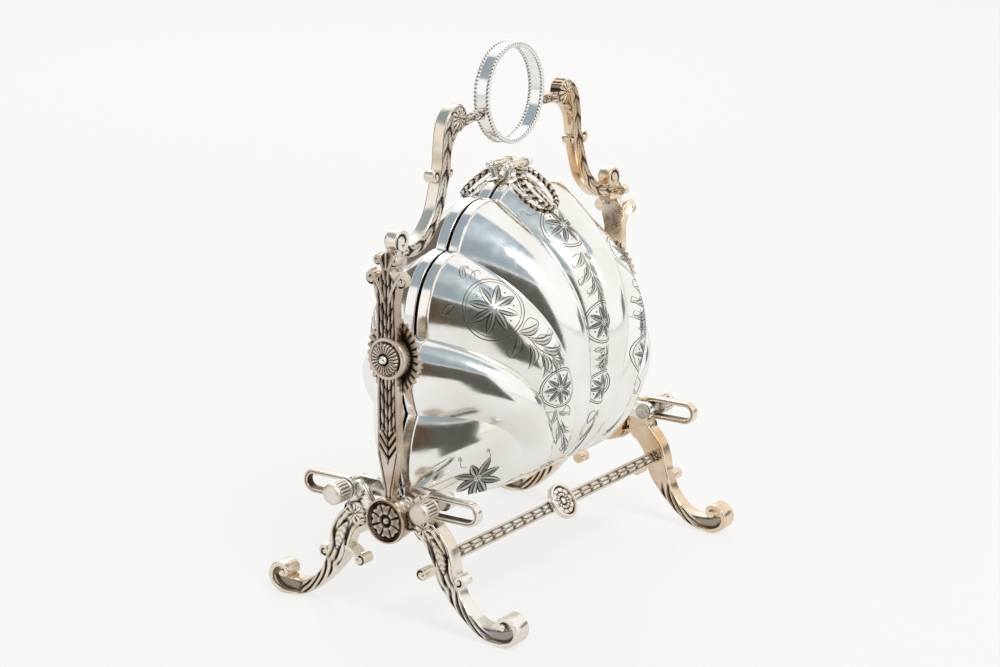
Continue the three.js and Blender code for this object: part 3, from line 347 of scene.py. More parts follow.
def make_piece(name, body, finish, parts, replaces=(), sharp=60):
    """Joins surfaces into one mesh in metres, gives it its body and finish, and hides the CAD parts
    that it replaces.
    """
    starts = np.cumsum([0] + [len(p) for p, _, _ in parts])
    points = np.concatenate([p for p, _, _ in parts]) * millimetre
    quads = np.concatenate([q + start for (_, q, _), start in zip(parts, starts)])
    mesh = bpy.data.meshes.new(name)
    mesh.from_pydata(points.tolist(), [], quads.tolist())
    hollow = mesh.attributes.new("recess", "FLOAT", "POINT")
    hollow.data.foreach_set("value", np.concatenate([h for _, _, h in parts]).astype(np.float32))
    work = bmesh.new()
    work.from_mesh(mesh)
    bmesh.ops.remove_doubles(work, verts=work.verts, dist=merge_distance)
    bmesh.ops.recalc_face_normals(work, faces=work.faces)
    work.to_mesh(mesh)
    work.free()
    mesh.shade_smooth()
    mesh.set_sharp_from_angle(angle=math.radians(sharp))
    mesh.materials.append(finish)
    piece = bpy.data.objects.new(name, mesh)
    scene.collection.objects.link(piece)
    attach(piece, body)
    if replaces:
        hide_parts(*replaces)
    print(name, len(mesh.polygons), "faces")


def make_pair(sides, name, body, finishes, parts, node, sharp=60):
    """Makes a piece for the first side and its turned twin for the second one. The side's
    name goes where {} stands in the names of piece, body and node."""
    for side, finish, placed in zip(sides, finishes, (parts, turned_half(parts))):
        make_piece(name.format(side), body.format(side), finish, placed,
                   [node.format(side)], sharp)


print("pieces can be made alone and in pairs")


# %% [markdown]
# ## The lobed shells
# The skill of the real maker lies here: nine lobes fan out from the long front edge of the
# flat bottom, each a soft bulge between two sharp valleys, and they end in a scalloped rim.
# One formula in two numbers gives the skin: the angle of a line of the fan from upright,
# and a reach from 0 at the bottom edge to 1 at the rim. All lines aim at one point below
# the bottom and bow a little inwards on their way. The radius and the crest of a lobe
# belong to the angle, and the depth of the body belongs to the reach. A subdivided cage
# would round the valleys away; the formula keeps them.

# %% The skin of a shell
pin_height, base_height = 61.5, 58.0
fan_drop, shell_radius, shell_half = 30.0, 172.0, 90.5
fan_end = math.atan2(shell_half, fan_drop)
notch_angles = np.append(np.radians([6.1, 20.3, 36.5, 50.7]), fan_end)
notch_shares = np.array([0.959, 0.899, 0.78, 0.657])
notch_radii = np.append(notch_shares * shell_radius, math.hypot(shell_half, fan_drop))
crest_shares = np.array([0.041, 0.042, 0.049, 0.047, 0.016])
shell_wall, half_gap = 1.3, 0.8
collar_depth, side_depth, crown_depth, crown_share = 6.5, 24.0, 46.5, 0.45
# Powers: how late the crown thins out sideways, the fall to the rim, the growth of a crest
crown_spread, rim_fall, crest_growth = 3.9, 2.3, 0.7
line_bow = 0.19


def lobe_at(angle):
    """Radius of the valleys and height of the crest at an angle: the crest is a parabola
    between two valleys, and the radius runs straight from one valley to the next."""
    size = np.minimum(np.abs(angle), fan_end)
    index = np.clip(np.searchsorted(notch_angles, size - 1e-9), 0, 4)
    before = np.maximum(index - 1, 0)
    start = np.where(index == 0, -notch_angles[0], notch_angles[before])
    mix = (size - start) / (notch_angles[index] - start)
    first = np.where(index == 0, notch_radii[0], notch_radii[before])
    radius = first + (notch_radii[index] - first) * mix
    return radius, crest_shares[index] * shell_radius * (1 - (2 * mix - 1) ** 2)


def skin(angle, reach, inset=0.0):
    """Point of the front skin. The depth rises by a cubic to the crown and falls by a power
    to the rim, and the crest is added square to that body, or along the radius at the rim."""
    angle, reach = np.broadcast_arrays(np.asarray(angle, float), np.asarray(reach, float))
    radius, crest = lobe_at(angle)
    sideways = np.abs(angle) / fan_end
    end_weight = sideways**4
    foot = fan_drop / np.cos(angle)
    side = side_depth * (1 - (foot * np.sin(np.abs(angle)) / shell_half) ** 4) - inset
    crown = crown_depth * (1 - sideways**crown_spread) - inset
    left = 1 - reach / crown_share
    over = np.clip((reach - crown_share) / (1 - crown_share), 0, 1)
    rising = reach < crown_share
    depth = np.where(rising, side + (crown - side) * (1 - left**3), crown * (1 - over**rim_fall))
    slope = np.where(rising, (crown - side) * 3 * left**2 / crown_share,
                     -crown * rim_fall * over ** (rim_fall - 1) / (1 - crown_share))
    span = radius - foot - inset * (1 - end_weight)
    into = span / np.hypot(slope, span + 1e-9) * (1 - reach**6)
    along = np.where(slope > 0, -1, 1) * np.sqrt(np.clip(1 - into**2, 0, 1))
    bulge = crest * reach**crest_growth
    out = foot + reach * span + bulge * along
    line = angle * (1 - line_bow * 4 * reach * (1 - reach) * (1 - end_weight))
    narrowed = 1 - inset / shell_half * end_weight
    return np.stack([out * np.sin(line) * narrowed, -(collar_depth + depth + bulge * into),
                     base_height - fan_drop + out * np.cos(line)], -1)


lobe_edges = np.concatenate([-notch_angles[::-1], notch_angles])
lobe_samples = [np.linspace(a, b, 40) for a, b in zip(lobe_edges, lobe_edges[1:])]
shell_angles = np.unique(np.concatenate(lobe_samples).round(7))
print("a shell is sampled at", len(shell_angles), "angles")

# %% [markdown]
# A Solidify modifier would fold the wall over itself in the sharp valleys. The formula of
# the skin takes an inset instead, and a whole section, from the skin over the rolled lip
# back to the floor, is one ring of points that is carried from end to end.

# %% The two shells
def rim_rows(inset, depths):
    """The collar: the rim line of the skin carried towards the middle plane."""
    rim = skin(shell_angles[None], np.ones((len(depths), 1)), inset)
    rim[..., 1] = -np.asarray(depths)[:, None]
    return rim


def shell_surface():
    """Skin, collar, rolled lip, inside and floor as one ring of rows from end to end."""
    reach = np.concatenate([np.linspace(0, 0.5, 40), np.linspace(0.5, 1, 91)[1:]])[:, None]
    outside = skin(shell_angles[None], reach)
    collar = rim_rows(0, [5.8, 5.0, 4.2, 3.4, 2.6, 1.8])
    lip = np.concatenate([
        rim_rows(shell_wall * (1 - np.cos(turn)) / 2, [half_gap + 0.55 * (1 - np.sin(turn))])
        for turn in np.linspace(0, np.pi, 9)])
    inner_collar = rim_rows(shell_wall, [2.6, 4.2, 5.8])
    inside = skin(shell_angles[None], np.linspace(1, 0, 40)[:, None], shell_wall)
    wall = np.concatenate([inner_collar, inside])
    wall[..., 2] = np.maximum(wall[..., 2], base_height + shell_wall)
    floor = np.stack([wall[-1], outside[0]])
    floor[..., 1] = -half_gap
    ring = np.concatenate([outside, collar, lip, wall, floor]).transpose(1, 0, 2)
    return surface(*capped(ring, 0))


make_pair(HALVES, "{}_shell_skin", "{}_shell", [polished_silver] * 2,
          [shell_surface()], "shell_{}", sharp=38)

# %% [markdown]
# ## Relief on castings
# The real castings came out of sand moulds taken from carved patterns, and a chaser went
# over them with punches. Two forms carry nearly all of it here. A strip is a bar between
# two curves, and a boss is a disc. Both get their relief from a function of the place on
# them, so a leaf follows a curved leg as the pattern carver drew it. Such a function takes
# s along the bar, t across it and its width, or the radius r from 0 to 1 and the angle.

# %% Curves and soft steps
def spline(points, count):
    """Smooth curve through points: each span is a cubic that its four neighbours give."""
    points = np.asarray(points, float)
    ends = np.concatenate([points[:1], points, points[-1:]])
    place = np.linspace(0, len(points) - 1, count)
    index = np.clip(place.astype(int), 0, len(points) - 2)
    u = (place - index)[:, None]
    a, b, c, d = (ends[index + k] for k in range(4))
    return 0.5 * (2 * b + (c - a) * u + (2 * a - 5 * b + 4 * c - d) * u**2
                  + (3 * b - a - 3 * c + d) * u**3)


def step(low, high, value):
    """0 below low, 1 above high, and a soft rise between them."""
    share = np.clip((value - low) / (high - low), 0, 1)
    return share * share * (3 - 2 * share)


def between(value, low, full, fall, high):
    """1 from full to fall, with a soft rise from low and a soft end at high."""
    return step(low, full, value) * step(high, fall, value)


def mound(value, width, middle=0.0):
    """A bell curve: 1 at the middle and next to nothing two widths away."""
    return np.exp(-(((value - middle) / width) ** 2))


def sideways_of(spine):
    """Unit vectors square to a flat curve."""
    way = np.gradient(spine, axis=0)
    return np.stack([-way[:, 1], way[:, 0]], -1) / np.hypot(*way.T)[:, None]


print("half way up a step:", step(0.0, 1.0, 0.5))

# %% [markdown]
# A beveled curve could give the bars, but nothing could be carved into their flat faces.
# A strip is a grid between its two edges, so its relief can be any function of the place.

# %% Strips
# Axes say where the two flat coordinates and the level go: pieces at the ends are drawn in
# the YZ plane with their level along X, and arms in the XZ plane with their level along Y
END_AXES, ARM_AXES = [2, 0, 1], [0, 2, 1]


def strip(near, far, low, high, relief=None, edge=0.8, axes=END_AXES, both=False, closed=False,
          columns=17):
    """A bar between two curves: its front is the level high plus a relief, a quarter circle
    rounds its long edges, and its back is the level low with a share both of the relief."""
    near, far = np.asarray(near, float), np.asarray(far, float)
    t = (1 - np.cos(np.linspace(0, np.pi, columns)))[None] / 2
    s = np.linspace(0, 1, len(near))[:, None]
    width = np.hypot(*(far - near).T)[:, None]
    inward = np.minimum(np.minimum(t, 1 - t) * width / edge, 1)
    rounding = edge * (1 - np.sqrt(1 - (1 - inward) ** 2))
    height, hollow = relief(s, t, width) if relief else (0 * s * t, 0 * s * t)
    front = high - rounding + height * inward
    back = low + rounding - height * inward * both
    across = np.concatenate([t, t[:, ::-1]], 1)[..., None]
    flat = near[:, None] * (1 - across) + far[:, None] * across
    level = np.concatenate([front, back[:, ::-1]], 1)[..., None]
    points = np.concatenate([flat, level], -1)[..., axes]
    dark = np.concatenate([hollow, hollow[:, ::-1] * both], 1)
    if closed:
        return surface(points, dark, close_rows=True)
    return surface(*capped(points, dark))


def rail(points, half, low, high, count=40, **more):
    """A band along a curve; half is half its width, one value or one for each sample."""
    spine = spline(points, count)
    side = sideways_of(spine) * np.broadcast_to(half, (count,))[:, None]
    return strip(spine - side, spine + side, low, high, edge=0.6, columns=9, **more)


def leaves(count, lean=0.55, rise=0.8):
    """Overlapping leaves along a bar: each one swells to a pointed tip, has a midrib and
    slanting veins, and throws the next one's root into shade."""
    def relief(s, t, width):
        across = 2 * t - 1
        wave = (s * count - lean * np.abs(across)) % 1
        ridge = np.sqrt(np.clip(1 - across**2, 0, 1))
        gap = 1 - np.abs(((s * count * 3 - 2.2 * np.abs(across)) % 1) - 0.5) * 2
        rib = mound(across, 0.14)
        height = rise * (wave**0.8 * ridge - 0.35 * rib * step(0.1, 0.5, wave) - 0.3 * gap**2)
        shade = step(0.3, 0.02, wave) + step(0.9, 1.0, wave) + 0.75 * gap**3 + 0.55 * rib
        return height - 0.15, np.clip(shade, 0, 1) * step(1.0, 0.86, np.abs(across))
    return relief


print("strips, rails and leaves can be made")

# %% [markdown]
# Discs are grids too: rings from the middle to the edge. Volutes and leaf rosettes are
# discs with a relief of their own.

# %% Bosses
def boss(centre, radius, low, relief, axes=END_AXES, both=False, rings=26, sides=72,
         stretch=(1, 1)):
    """A disc: relief(r, turn) gives the level of its front, its recess, and how far its
    outline reaches at each angle; its back is the level low, or the same relief mirrored."""
    r = np.linspace(0, 1, rings)[:, None]
    turn = np.linspace(0, 2 * np.pi, sides, endpoint=False)[None]
    level, hollow, reach = (np.broadcast_to(part, (rings, sides)) for part in relief(r, turn))
    u = centre[0] + radius * stretch[0] * reach * r * np.cos(turn)
    v = centre[1] + radius * stretch[1] * reach * r * np.sin(turn)
    front = np.stack([u, v, level], -1)
    if both:
        back, dark = front[::-1] * [1, 1, -1], hollow[::-1]
    else:
        back = np.stack([front[-1], front[0]])
        back[..., 2], dark = low, np.zeros((2, sides))
    return surface(np.concatenate([front, back])[..., axes], np.concatenate([hollow, dark]))


def scroll(centre, radius, low, high, turns=1.4, way=1, start=0.0, **more):
    """A volute: a groove winds in from the edge towards a round eye."""
    def relief(r, turn):
        wind = (r * turns - way * (turn - start) / (2 * np.pi)) % 1
        groove = mound(wind, 0.17, 0.5) * between(r, 0.2, 0.36, 0.86, 1.0)
        eye = np.exp(-((r / 0.2) ** 4))
        rim = 0.5 * (1 - np.sqrt(1 - np.clip((r - 0.86) / 0.14, 0, 1) ** 2))
        return high - 0.9 * groove - rim + 0.4 * eye, np.clip(1.25 * groove + 0.1, 0, 1), 1.0
    return boss(centre, radius, low, relief, **more)


def leaf_fan(high, rise, petals=8):
    """A rosette of pointed leaves round a small eye, with shade between the leaves."""
    def relief(r, turn):
        leaf = np.abs(np.cos(turn * petals / 2))
        body = leaf**0.6 * step(1.0, 0.55, r) + 0.4 * np.exp(-((r / 0.22) ** 4))
        shade = (1 - leaf) ** 1.2 * 1.4 * step(0.12, 0.3, r) + step(0.8, 0.95, r) * 0.5
        return high - rise + rise * body, np.clip(shade, 0, 1), 1.0
    return relief


print("bosses, scrolls and leaf rosettes can be made")

# %% [markdown]
# ## The end castings
# One sand casting holds the hub, two scrolled legs and the two slotted loops in which the
# hinge pins of the shells slide. Long leaves flow down the legs, a leaf rosette covers
# the root of each, and the feet curl up into open hooks.

# %% Relief of a leg
rope_starts, foot_starts = (0.4, 0.5), (0.7, 0.78)


def leg_relief(s, t, width):
    """Long leaves flow down the upper leg in ridges that wander round a veined lance, a
    twist of slender leaves follows, and the foot is a deep channel between two bright rims."""
    side, across = 2 * t - 1, np.abs(2 * t - 1)
    stream = (1.6 * side + 0.34 * np.sin(2 * np.pi * (1.9 * s + 0.1)) + 0.5) % 1
    groove = mound(stream, 0.2, 0.5)
    sweep = (7 * s - 0.9 * side + 0.3 * np.sin(9 * s)) % 1
    lash = mound(sweep, 0.16, 0.5) * between(stream, 0.1, 0.3, 0.75, 0.95)
    swell = np.sin(np.pi * np.clip((s - 0.1) / 0.26, 0, 1))
    into = 0.46 * swell - across
    lance, outline = step(0.0, 0.1, into), mound(into, 0.07) * step(0.0, 0.2, swell)
    vein = 0.5 + 0.5 * np.cos(2 * np.pi * (26 * s - 1.6 * across))
    upper = (0.35 - 0.85 * groove - 0.3 * lash) * (1 - lance) + 0.5 * lance - 0.7 * outline
    dark_upper = (groove + 0.75 * lash) * (1 - lance) + 0.5 * vein * lance + 0.9 * outline
    cord = 0.5 - 0.5 * np.cos(2 * np.pi * (11 * s - 1.05 * side))
    lower, dark_lower = 0.9 * cord - 0.6, step(0.62, 0.16, cord)
    channel = step(0.84, 0.6, across)
    hollow = channel * (0.6 + 0.35 * step(0.3, 0.62, across))
    to_rope, to_foot = step(*rope_starts, s), step(*foot_starts, s)
    roped = to_rope * (1 - to_foot)
    height = upper * (1 - to_rope) + lower * roped - 2.4 * channel * to_foot
    dark = np.clip(dark_upper, 0, 1) * (1 - to_rope) + dark_lower * roped + hollow * to_foot
    rim = between(across, 0.74, 0.84, 0.93, 1.0)
    return height + 0.3 * rim, dark * (1 - 0.85 * rim) * step(1.0, 0.95, across)


print("the twist of a leg starts at", rope_starts[0], "and its foot at", foot_starts[0])

# %% [markdown]
# The two edges of a leg were read off as points and are joined by smooth curves. The hook
# of the foot is a bar of its own, because the leg ends where the curl begins.

# %% Legs
end_face, leg_thick, hub_height, leg_spread, foot_width = 102.5, 9.0, 50.6, 72.5, 10.5
inner_face, leg_middle = end_face - leg_thick, end_face - leg_thick / 2
# The two edges of a leg from the root to the foot, as shares of its spread and height
leg_inner = np.array([
    [0.12, 0.93], [0.197, 0.929], [0.255, 0.86], [0.308, 0.767], [0.342, 0.656], [0.359, 0.565],
    [0.386, 0.474], [0.437, 0.383], [0.51, 0.267], [0.593, 0.16], [0.679, 0.069], [0.772, 0.015],
    [0.85, 0.012], [0.93, 0.03], [0.975, 0.085], [0.992, 0.155]]) * [leg_spread, hub_height]
leg_outer = np.array([
    [0.353, 1.047], [0.419, 0.949], [0.472, 0.84], [0.499, 0.731], [0.513, 0.623], [0.535, 0.524],
    [0.56, 0.405], [0.61, 0.296], [0.681, 0.208], [0.76, 0.168], [0.83, 0.168],
    [0.885, 0.18], [0.94, 0.19]]) * [leg_spread, hub_height]
hook_line = [
    [55.2, 2.3], [59.5, 1.5], [65.5, 1.3], [70.9, 3.7], [73.0, 8.0], [71.3, 12.6], [67.2, 14.6],
    [63.6, 13.0], [63.4, 10.0], [65.8, 9.2]]


def leg_parts():
    """The leg, the hook of its foot, the rosette at its root, and two small scrolls."""
    count = 260
    inside = step(*rope_starts, np.linspace(0, 1, count))[:, None]
    leg = strip(spline(leg_outer, count), spline(leg_inner, count), inner_face, end_face - 0.5,
                leg_relief, edge=1.3, both=inside, columns=33)
    low, high = leg_middle - foot_width / 2, leg_middle + foot_width / 2
    thick = np.interp(np.linspace(0, 1, 90), [0, 0.25, 0.55, 0.85, 1], [0.25, 1.1, 1.25, 1.1, 0.7])
    hook = rail(hook_line, thick, low, high, count=90)
    button = boss((65.6, 10.4), 1.7, low + 0.4, rings=10, sides=30,
                  relief=lambda r, turn: (high + 0.9 * np.sqrt(1.0 - r**2 * 0.99), 0.0, 1.0))
    root = boss((20.5, 50.0), 7.0, inner_face + 1.5, leaf_fan(end_face + 0.5, 1.6), rings=30)
    spur, side = spline([[28.5, 30.9], [23.9, 30.4], [18.5, 26.5]], 24), np.array([0.75, 1.5])
    small = {"turns": 1.1, "rings": 18, "sides": 40}
    return [
        leg, hook, button, root,
        strip(spur + side, spur - side, inner_face + 0.7, end_face - 0.7, edge=0.6, columns=9),
        scroll((18.5, 26.5), 3.0, inner_face + 0.8, end_face - 0.5, start=1.0, **small),
        scroll((40.0, 27.0), 2.9, inner_face + 0.8, end_face - 0.5, way=-1, **small)]


print("a leg is", leg_thick, "mm thick and stands", leg_spread, "mm out")

# %% [markdown]
# The loops are bars bent to a long ring, with a fine hollow between two rims. They spring
# from a web beside the hub that is cast in one with them.

# %% Loops, web and hub
slot_first, slot_last, slot_radius, loop_radius = 25.5, 45.5, 3.5, 5.9


def stadium(first, last, height, radius, count):
    """Two half circles joined by straight lines, sampled evenly all the way round."""
    straight, arc = last - first, np.pi * radius
    way = np.linspace(0, 2 * (straight + arc), count, endpoint=False)
    second = np.clip(way - 2 * straight - arc, 0, arc)
    turn = np.clip(way - straight, 0, arc) / radius + second / radius
    along = np.clip(way, 0, straight) - np.clip(way - straight - arc, 0, straight)
    return np.stack([first + along + radius * np.sin(turn), height - radius * np.cos(turn)], -1)


def rail_relief(s, t, width):
    """A fine hollow between two rounded rims, and painted shade on the inner side of the loop."""
    hollow = mound(t, 0.16, 0.55) + 0 * s
    # The second term is painted shade on the inner side of the loop, towards the slot
    return -0.45 * hollow, 0.8 * hollow + 0.9 * step(0.1, 0.0, t)


def loop_parts():
    """The ring of the slot and the web that carries it."""
    inner, outer = (stadium(slot_first, slot_last, pin_height, radius, 160)
                    for radius in (slot_radius, loop_radius))
    web = spline([[13.5, 50.5], [17.0, 56.5], [20.5, 61.0], [24.0, 61.4]], 20)
    half = np.array([[1.5, -1.0]]) * np.linspace(3.4, 2.6, 20)[:, None]
    half[:, 1] += np.linspace(0, -2.4, 20)
    return [
        strip(inner, outer, end_face - 5, end_face, rail_relief, edge=0.9, both=True,
              closed=True, columns=15),
        strip(web - half, web + half, end_face - 4.7, end_face - 0.3, leaves(3, 0.4, 0.4),
              edge=0.8, columns=13)]


def hub_plate(r, turn):
    """A plain plate with a rounded edge behind the eye of the upright."""
    return 97.5 - 0.6 * step(0.93, 1.0, r), 0.6 + 0 * r, 1.0


side_parts = leg_parts() + loop_parts()
end_parts = side_parts + mirrored(side_parts, [1, -1, 1])
end_parts.append(boss((0, hub_height), 10.0, inner_face + 0.3, hub_plate))
# The right end takes the finish with painted shade
make_pair(ENDS, "{}_leg_casting", "frame", (shaded_far_silver, cast_silver),
          end_parts, "leg_frame_{}")

# %% [markdown]
# ## Uprights
# A narrow pilaster rises from a round eye. Its sunk panel is filled with slender leaves, a
# raised ring seats the upper boss, and the head opens into two pairs of volutes.

# %% Relief of an upright
upright_rise, upright_half, upright_inner = 129.9, 6.1, 97.8
column_wide, leaf_long, panel_foot = 2.25, 7.2, 27
# Half the width of an upright at heights from the hub to its head, as shares
upright_shares = np.array([
    [0, 0.377], [0.111, 0.377], [0.18, 0.69], [0.249, 1], [0.365, 0.967], [0.496, 0.918],
    [0.62, 0.95], [0.704, 0.984], [0.819, 0.902], [0.865, 1.148], [0.888, 1.23], [0.919, 0.656],
    [0.935, 0.4], [0.958, 0.49], [0.981, 0.426], [1, 0.2]])


def upright_relief(s, t, width):
    """Sunk panels between two rims are filled with slender leaves in four staggered columns
    that lean outwards. Three pairs of larger leaves end the panel in a point below, a plain
    wedge runs down to the eye, and above it the ground sinks behind the volutes."""
    along, side = s * upright_rise, (t - 0.5) * width
    rim, out = width / 2 - np.abs(side), np.abs(side)
    above_foot = along - panel_foot - 1.3 * out
    field = step(0.9, 1.3, rim) * step(0, 1.2, above_foot) * step(122, 121, along)
    column = np.floor(out / column_wide)
    place = (along / leaf_long + 0.5 * column + 0.1 * (side > 0)) % 1
    lean = out - column_wide * column - 1.05 - 0.5 * (place - 0.5)
    swell = 0.92 * np.sin(np.pi * place) ** 0.6 + 0.05
    slender = np.clip(1 - np.abs(lean) / swell, 0, 1) ** 0.6
    pair = ((along - 30) / 4.6 - 0.3 * out) % 1
    paired = between(pair, 0.12, 0.4, 0.72, 0.95) * step(0.2, 0.6, out)
    low = step(45, 43, along)
    motif = slender * (1 - low) + paired * low
    wedge = step(1.0, -0.2, above_foot) * mound(rim, 0.34, 1.25)
    head = step(122, 124, along) * step(0.35, 0.7, out)
    line = 0.5 * mound(rim, 0.14, 0.5) * step(126, 124, along)
    hollow = np.clip(field * (1.15 - 1.3 * motif) + 0.95 * wedge + 0.9 * head + line, 0, 1)
    return field * (0.9 * motif - 0.9) - 0.5 * wedge - 0.5 * head, hollow


print("an upright has leaves", leaf_long, "mm long in columns", column_wide, "mm wide")

# %% [markdown]
# The outline of the pilaster is a row of half widths, so both sides come from one list.
# Round eye, ring and volutes are laid on it as pieces of the same casting.

# %% Uprights
boss_height = 130


def eye_ring(r, turn):
    """The round eye at the foot: a plain rim, seen round the rosette."""
    return end_face - 0.7 * step(0.94, 1.0, r), 0.5 * between(r, 0.75, 0.85, 0.92, 0.97), 1.0


def boss_ring(r, turn):
    """The raised ring round the upper boss, with a sunk floor inside it."""
    ring = between(r, 0.78, 0.82, 0.95, 1.0)
    level = end_face - 0.2 + 0.9 * ring - 0.6 * step(0.96, 1.0, r)
    return level, 0.9 * step(0.8, 0.76, r) + 0.3 * step(0.97, 1.0, r), 1.0


rise_at = np.linspace(0, 1, 520)
half_at = np.interp(rise_at, *upright_shares.T) * upright_half
pilaster = np.stack([half_at, hub_height + rise_at * upright_rise], -1)
upright_parts = [
    strip(pilaster * [-1, 1], pilaster, upright_inner, end_face, upright_relief, edge=0.4,
          columns=65),
    boss((0, hub_height), 10.6, upright_inner + 0.1, eye_ring),
    boss((0, boss_height), 10.5, upright_inner + 0.1, boss_ring, rings=34)]
# The backs of the volutes lie a little above each other, so that none lies in another's plane
lower_stem = [[1.4, 157], [3.6, 163.5], [6.6, 168.5], [9.2, 171.6]]
upper_stem = [[1.0, 168], [1.6, 172.5], [3.0, 176.5], [5.2, 179.2]]
stem_high, volute_high = end_face + 0.35, end_face + 0.3
side_scrolls = [
    rail(lower_stem, np.linspace(0.7, 1.1, 40), upright_inner + 0.1, stem_high),
    rail(upper_stem, np.linspace(0.7, 1.0, 40), upright_inner + 0.15, stem_high),
    scroll((8.3, 168.0), 3.3, upright_inner + 0.2, volute_high, turns=1.2, start=1.6,
           rings=20, sides=44),
    scroll((4.5, 177.0), 2.5, upright_inner + 0.25, volute_high, turns=1.1, start=1.6,
           rings=18, sides=40)]
upright_parts += side_scrolls + mirrored(side_scrolls, [1, -1, 1])
seat = [spline([[89.8, height], [98.5, height]], 8) for height in (172.5, 177.5)]
upright_parts.append(strip(*seat, -3, 3, edge=0.4, axes=ARM_AXES, columns=7))
# The right end takes the finish with painted shade
make_pair(ENDS, "{}_upright_relief", "frame", (shaded_far_silver, dark_silver),
          upright_parts, "upright_{}")

# %% [markdown]
# ## Rosettes
# Turned and chased discs hide the screws. The lower one is a flower of eight petals in a
# double ring. The upper one is a fluted button in front of an oval disc of leaves, and a
# bright bead shines in its middle.

# %% Rosettes
button_level, disc_level, bead_level = 105.2, 96.3, 104.0


def flower(high, well, petals=8, bead=0.16):
    """Bead, ring of petals, groove and double rim, all as one level over the radius."""
    def relief(r, turn):
        fan = np.abs(np.cos(turn * petals / 2))
        notch = 1 - 0.12 * fan**6
        pad = between(r, 0.24, 0.33, 0.71 * notch, 0.78 * notch) * step(0.08, 0.4, fan)
        dish = 0.7 * np.sin(np.pi * np.clip((r - 0.3) / 0.4, 0, 1)) * pad
        dome = np.sqrt(np.clip(1 - (r / bead) ** 2, 0, 1))
        rings = np.maximum(mound(r, 0.025, 0.835) * 0.75, between(r, 0.88, 0.91, 0.97, 1.03))
        level = np.maximum(np.maximum(0.75 * pad - 0.35 * dish, dome), rings)
        dark = np.clip(1.0 - 1.35 * level + 0.35 * dish, 0, 1)
        return high - well + well * level, dark, 1.0
    return relief


def flutes(r, turn):
    """Radial flutes from a hollow middle to a scalloped edge."""
    valley = 1 - np.abs(np.cos(turn * 12))
    band = step(0.36, 0.46, r)
    level = (button_level - 1.5 * step(0.42, 0.34, r) - 0.75 * valley * band
             - 0.9 * step(0.9, 1.0, r))
    return level, np.clip(valley**1.1 * band + step(0.46, 0.38, r), 0, 1), 1 - 0.03 * valley


def leaf_disc(r, turn):
    """Thirty leaf tips round an oval: each has a fold down its middle, and a painted shadow of
    the boss darkens the disc round it, so only the tips beyond the boss stay bright."""
    leaf, fold = np.abs(np.cos(turn * 15)), mound(np.sin(turn * 15), 0.25)
    level = disc_level + 1.4 * leaf**0.6 * step(0.55, 0.85, r) - 0.5 * fold * step(0.6, 0.75, r)
    # The last term is the painted shadow of the boss on the disc
    dark = (1 - leaf) * 1.3 * step(0.7, 0.85, r) + 0.3 * fold + 0.8 * step(0.84, 0.72, r)
    return level, np.clip(dark, 0, 1), 1 + r * (0.05 * leaf - 0.07 * (1 - leaf) ** 0.5)


def bright_bead(r, turn):
    """A low dome."""
    return bead_level + 3.4 * np.sqrt(np.clip(1 - r**2, 0, 1)), 0.0 * r, 1.0


lower, upper = (0, hub_height), (0, boss_height)
rosettes = {
    "lower_flower": ("lower_rosette", dark_silver, boss(
        lower, 11.3, 102.8, flower(105.8, 2.0), rings=60, sides=120)),
    "upper_button": ("upper_rosette", dark_silver, boss(
        upper, 7.5, 102.8, flutes, rings=30, sides=144)),
    "leaf_disc": ("gadroon_disc", dark_silver, boss(
        upper, 14.5, 95.5, leaf_disc, rings=34, sides=176, stretch=(1, 1.29))),
    "bright_bead": ("bead_pin", polished_silver, boss(
        upper, 2.4, 98.0, bright_bead, rings=16, sides=32))}
for name, (node, finish, part) in rosettes.items():
    make_pair(ENDS, "{}_" + name, "frame", [finish] * 2, [part], node + "_{}")

# %% [markdown]
# ## Turned pieces
# What a lathe made comes from a profile that is turned round an axis. Reeds are a wave on
# its radius.

# %% Turning helpers
def turned(profile, centre=(0, 0), reeds=0, depth=0.0, sides=48):
    """A profile of (radius, level, reeding) turned round the level axis, which lies along X;
    where the reeding is 1 the radius dips between the reeds by the depth."""
    radius, level, reeding = np.asarray(profile, float).T
    turn = np.linspace(0, 2 * np.pi, sides, endpoint=False)
    dip = (1 - np.abs(np.cos(turn * reeds / 2))) ** 1.5 if reeds else 0 * turn
    r = radius[:, None] * (1 - depth * reeding[:, None] * dip)
    u, v = centre[0] + r * np.cos(turn), centre[1] + r * np.sin(turn)
    level = np.broadcast_to(level[:, None], r.shape)
    return surface(np.stack([u, v, level], -1)[..., END_AXES], reeding[:, None] * dip)


def ball(radius, middle, count=9):
    """Profile of a ball on the axis, as rows for turned()."""
    turn = np.linspace(0, np.pi, count)
    return [(radius * np.sin(a), middle - radius * np.cos(a), 0) for a in turn]


def moved(parts, angle, offset):
    """Surfaces turned about the X axis and then shifted."""
    c, s = math.cos(angle), math.sin(angle)
    turn = np.array([[1, 0, 0], [0, c, s], [0, -s, c]])
    return [(p @ turn + offset, q, h) for p, q, h in parts]


print("a ball's profile has", len(ball(1.0, 0.0)), "points")

# %% [markdown]
# ## The handle
# Each arm is one S-shaped casting: its flat faces are chased with leaves, and its outer
# edge is polished where the hand takes it. A rosette covers the shoulder, and the heel rolls
# up into a volute.

# %% Handle arms
ring_height, ring_radius, arm_reach, arm_foot, arm_deep = 241.9, 25.1, 93.3, 177.5, 3.2
# The middle line of an arm from shoulder to heel, as shares of its reach and its height
arm_shares = np.array([
    [0.461, 0.935], [0.514, 0.96], [0.568, 0.91], [0.598, 0.815], [0.611, 0.69], [0.622, 0.549],
    [0.654, 0.393], [0.697, 0.236], [0.766, 0.119], [0.847, 0.046], [0.932, 0.026], [0.995, 0.05]])
neck_line = [[56.0, 219.0], [53.0, 226.0], [47.5, 231.2], [39.0, 233.6], [30.0, 234.5]]


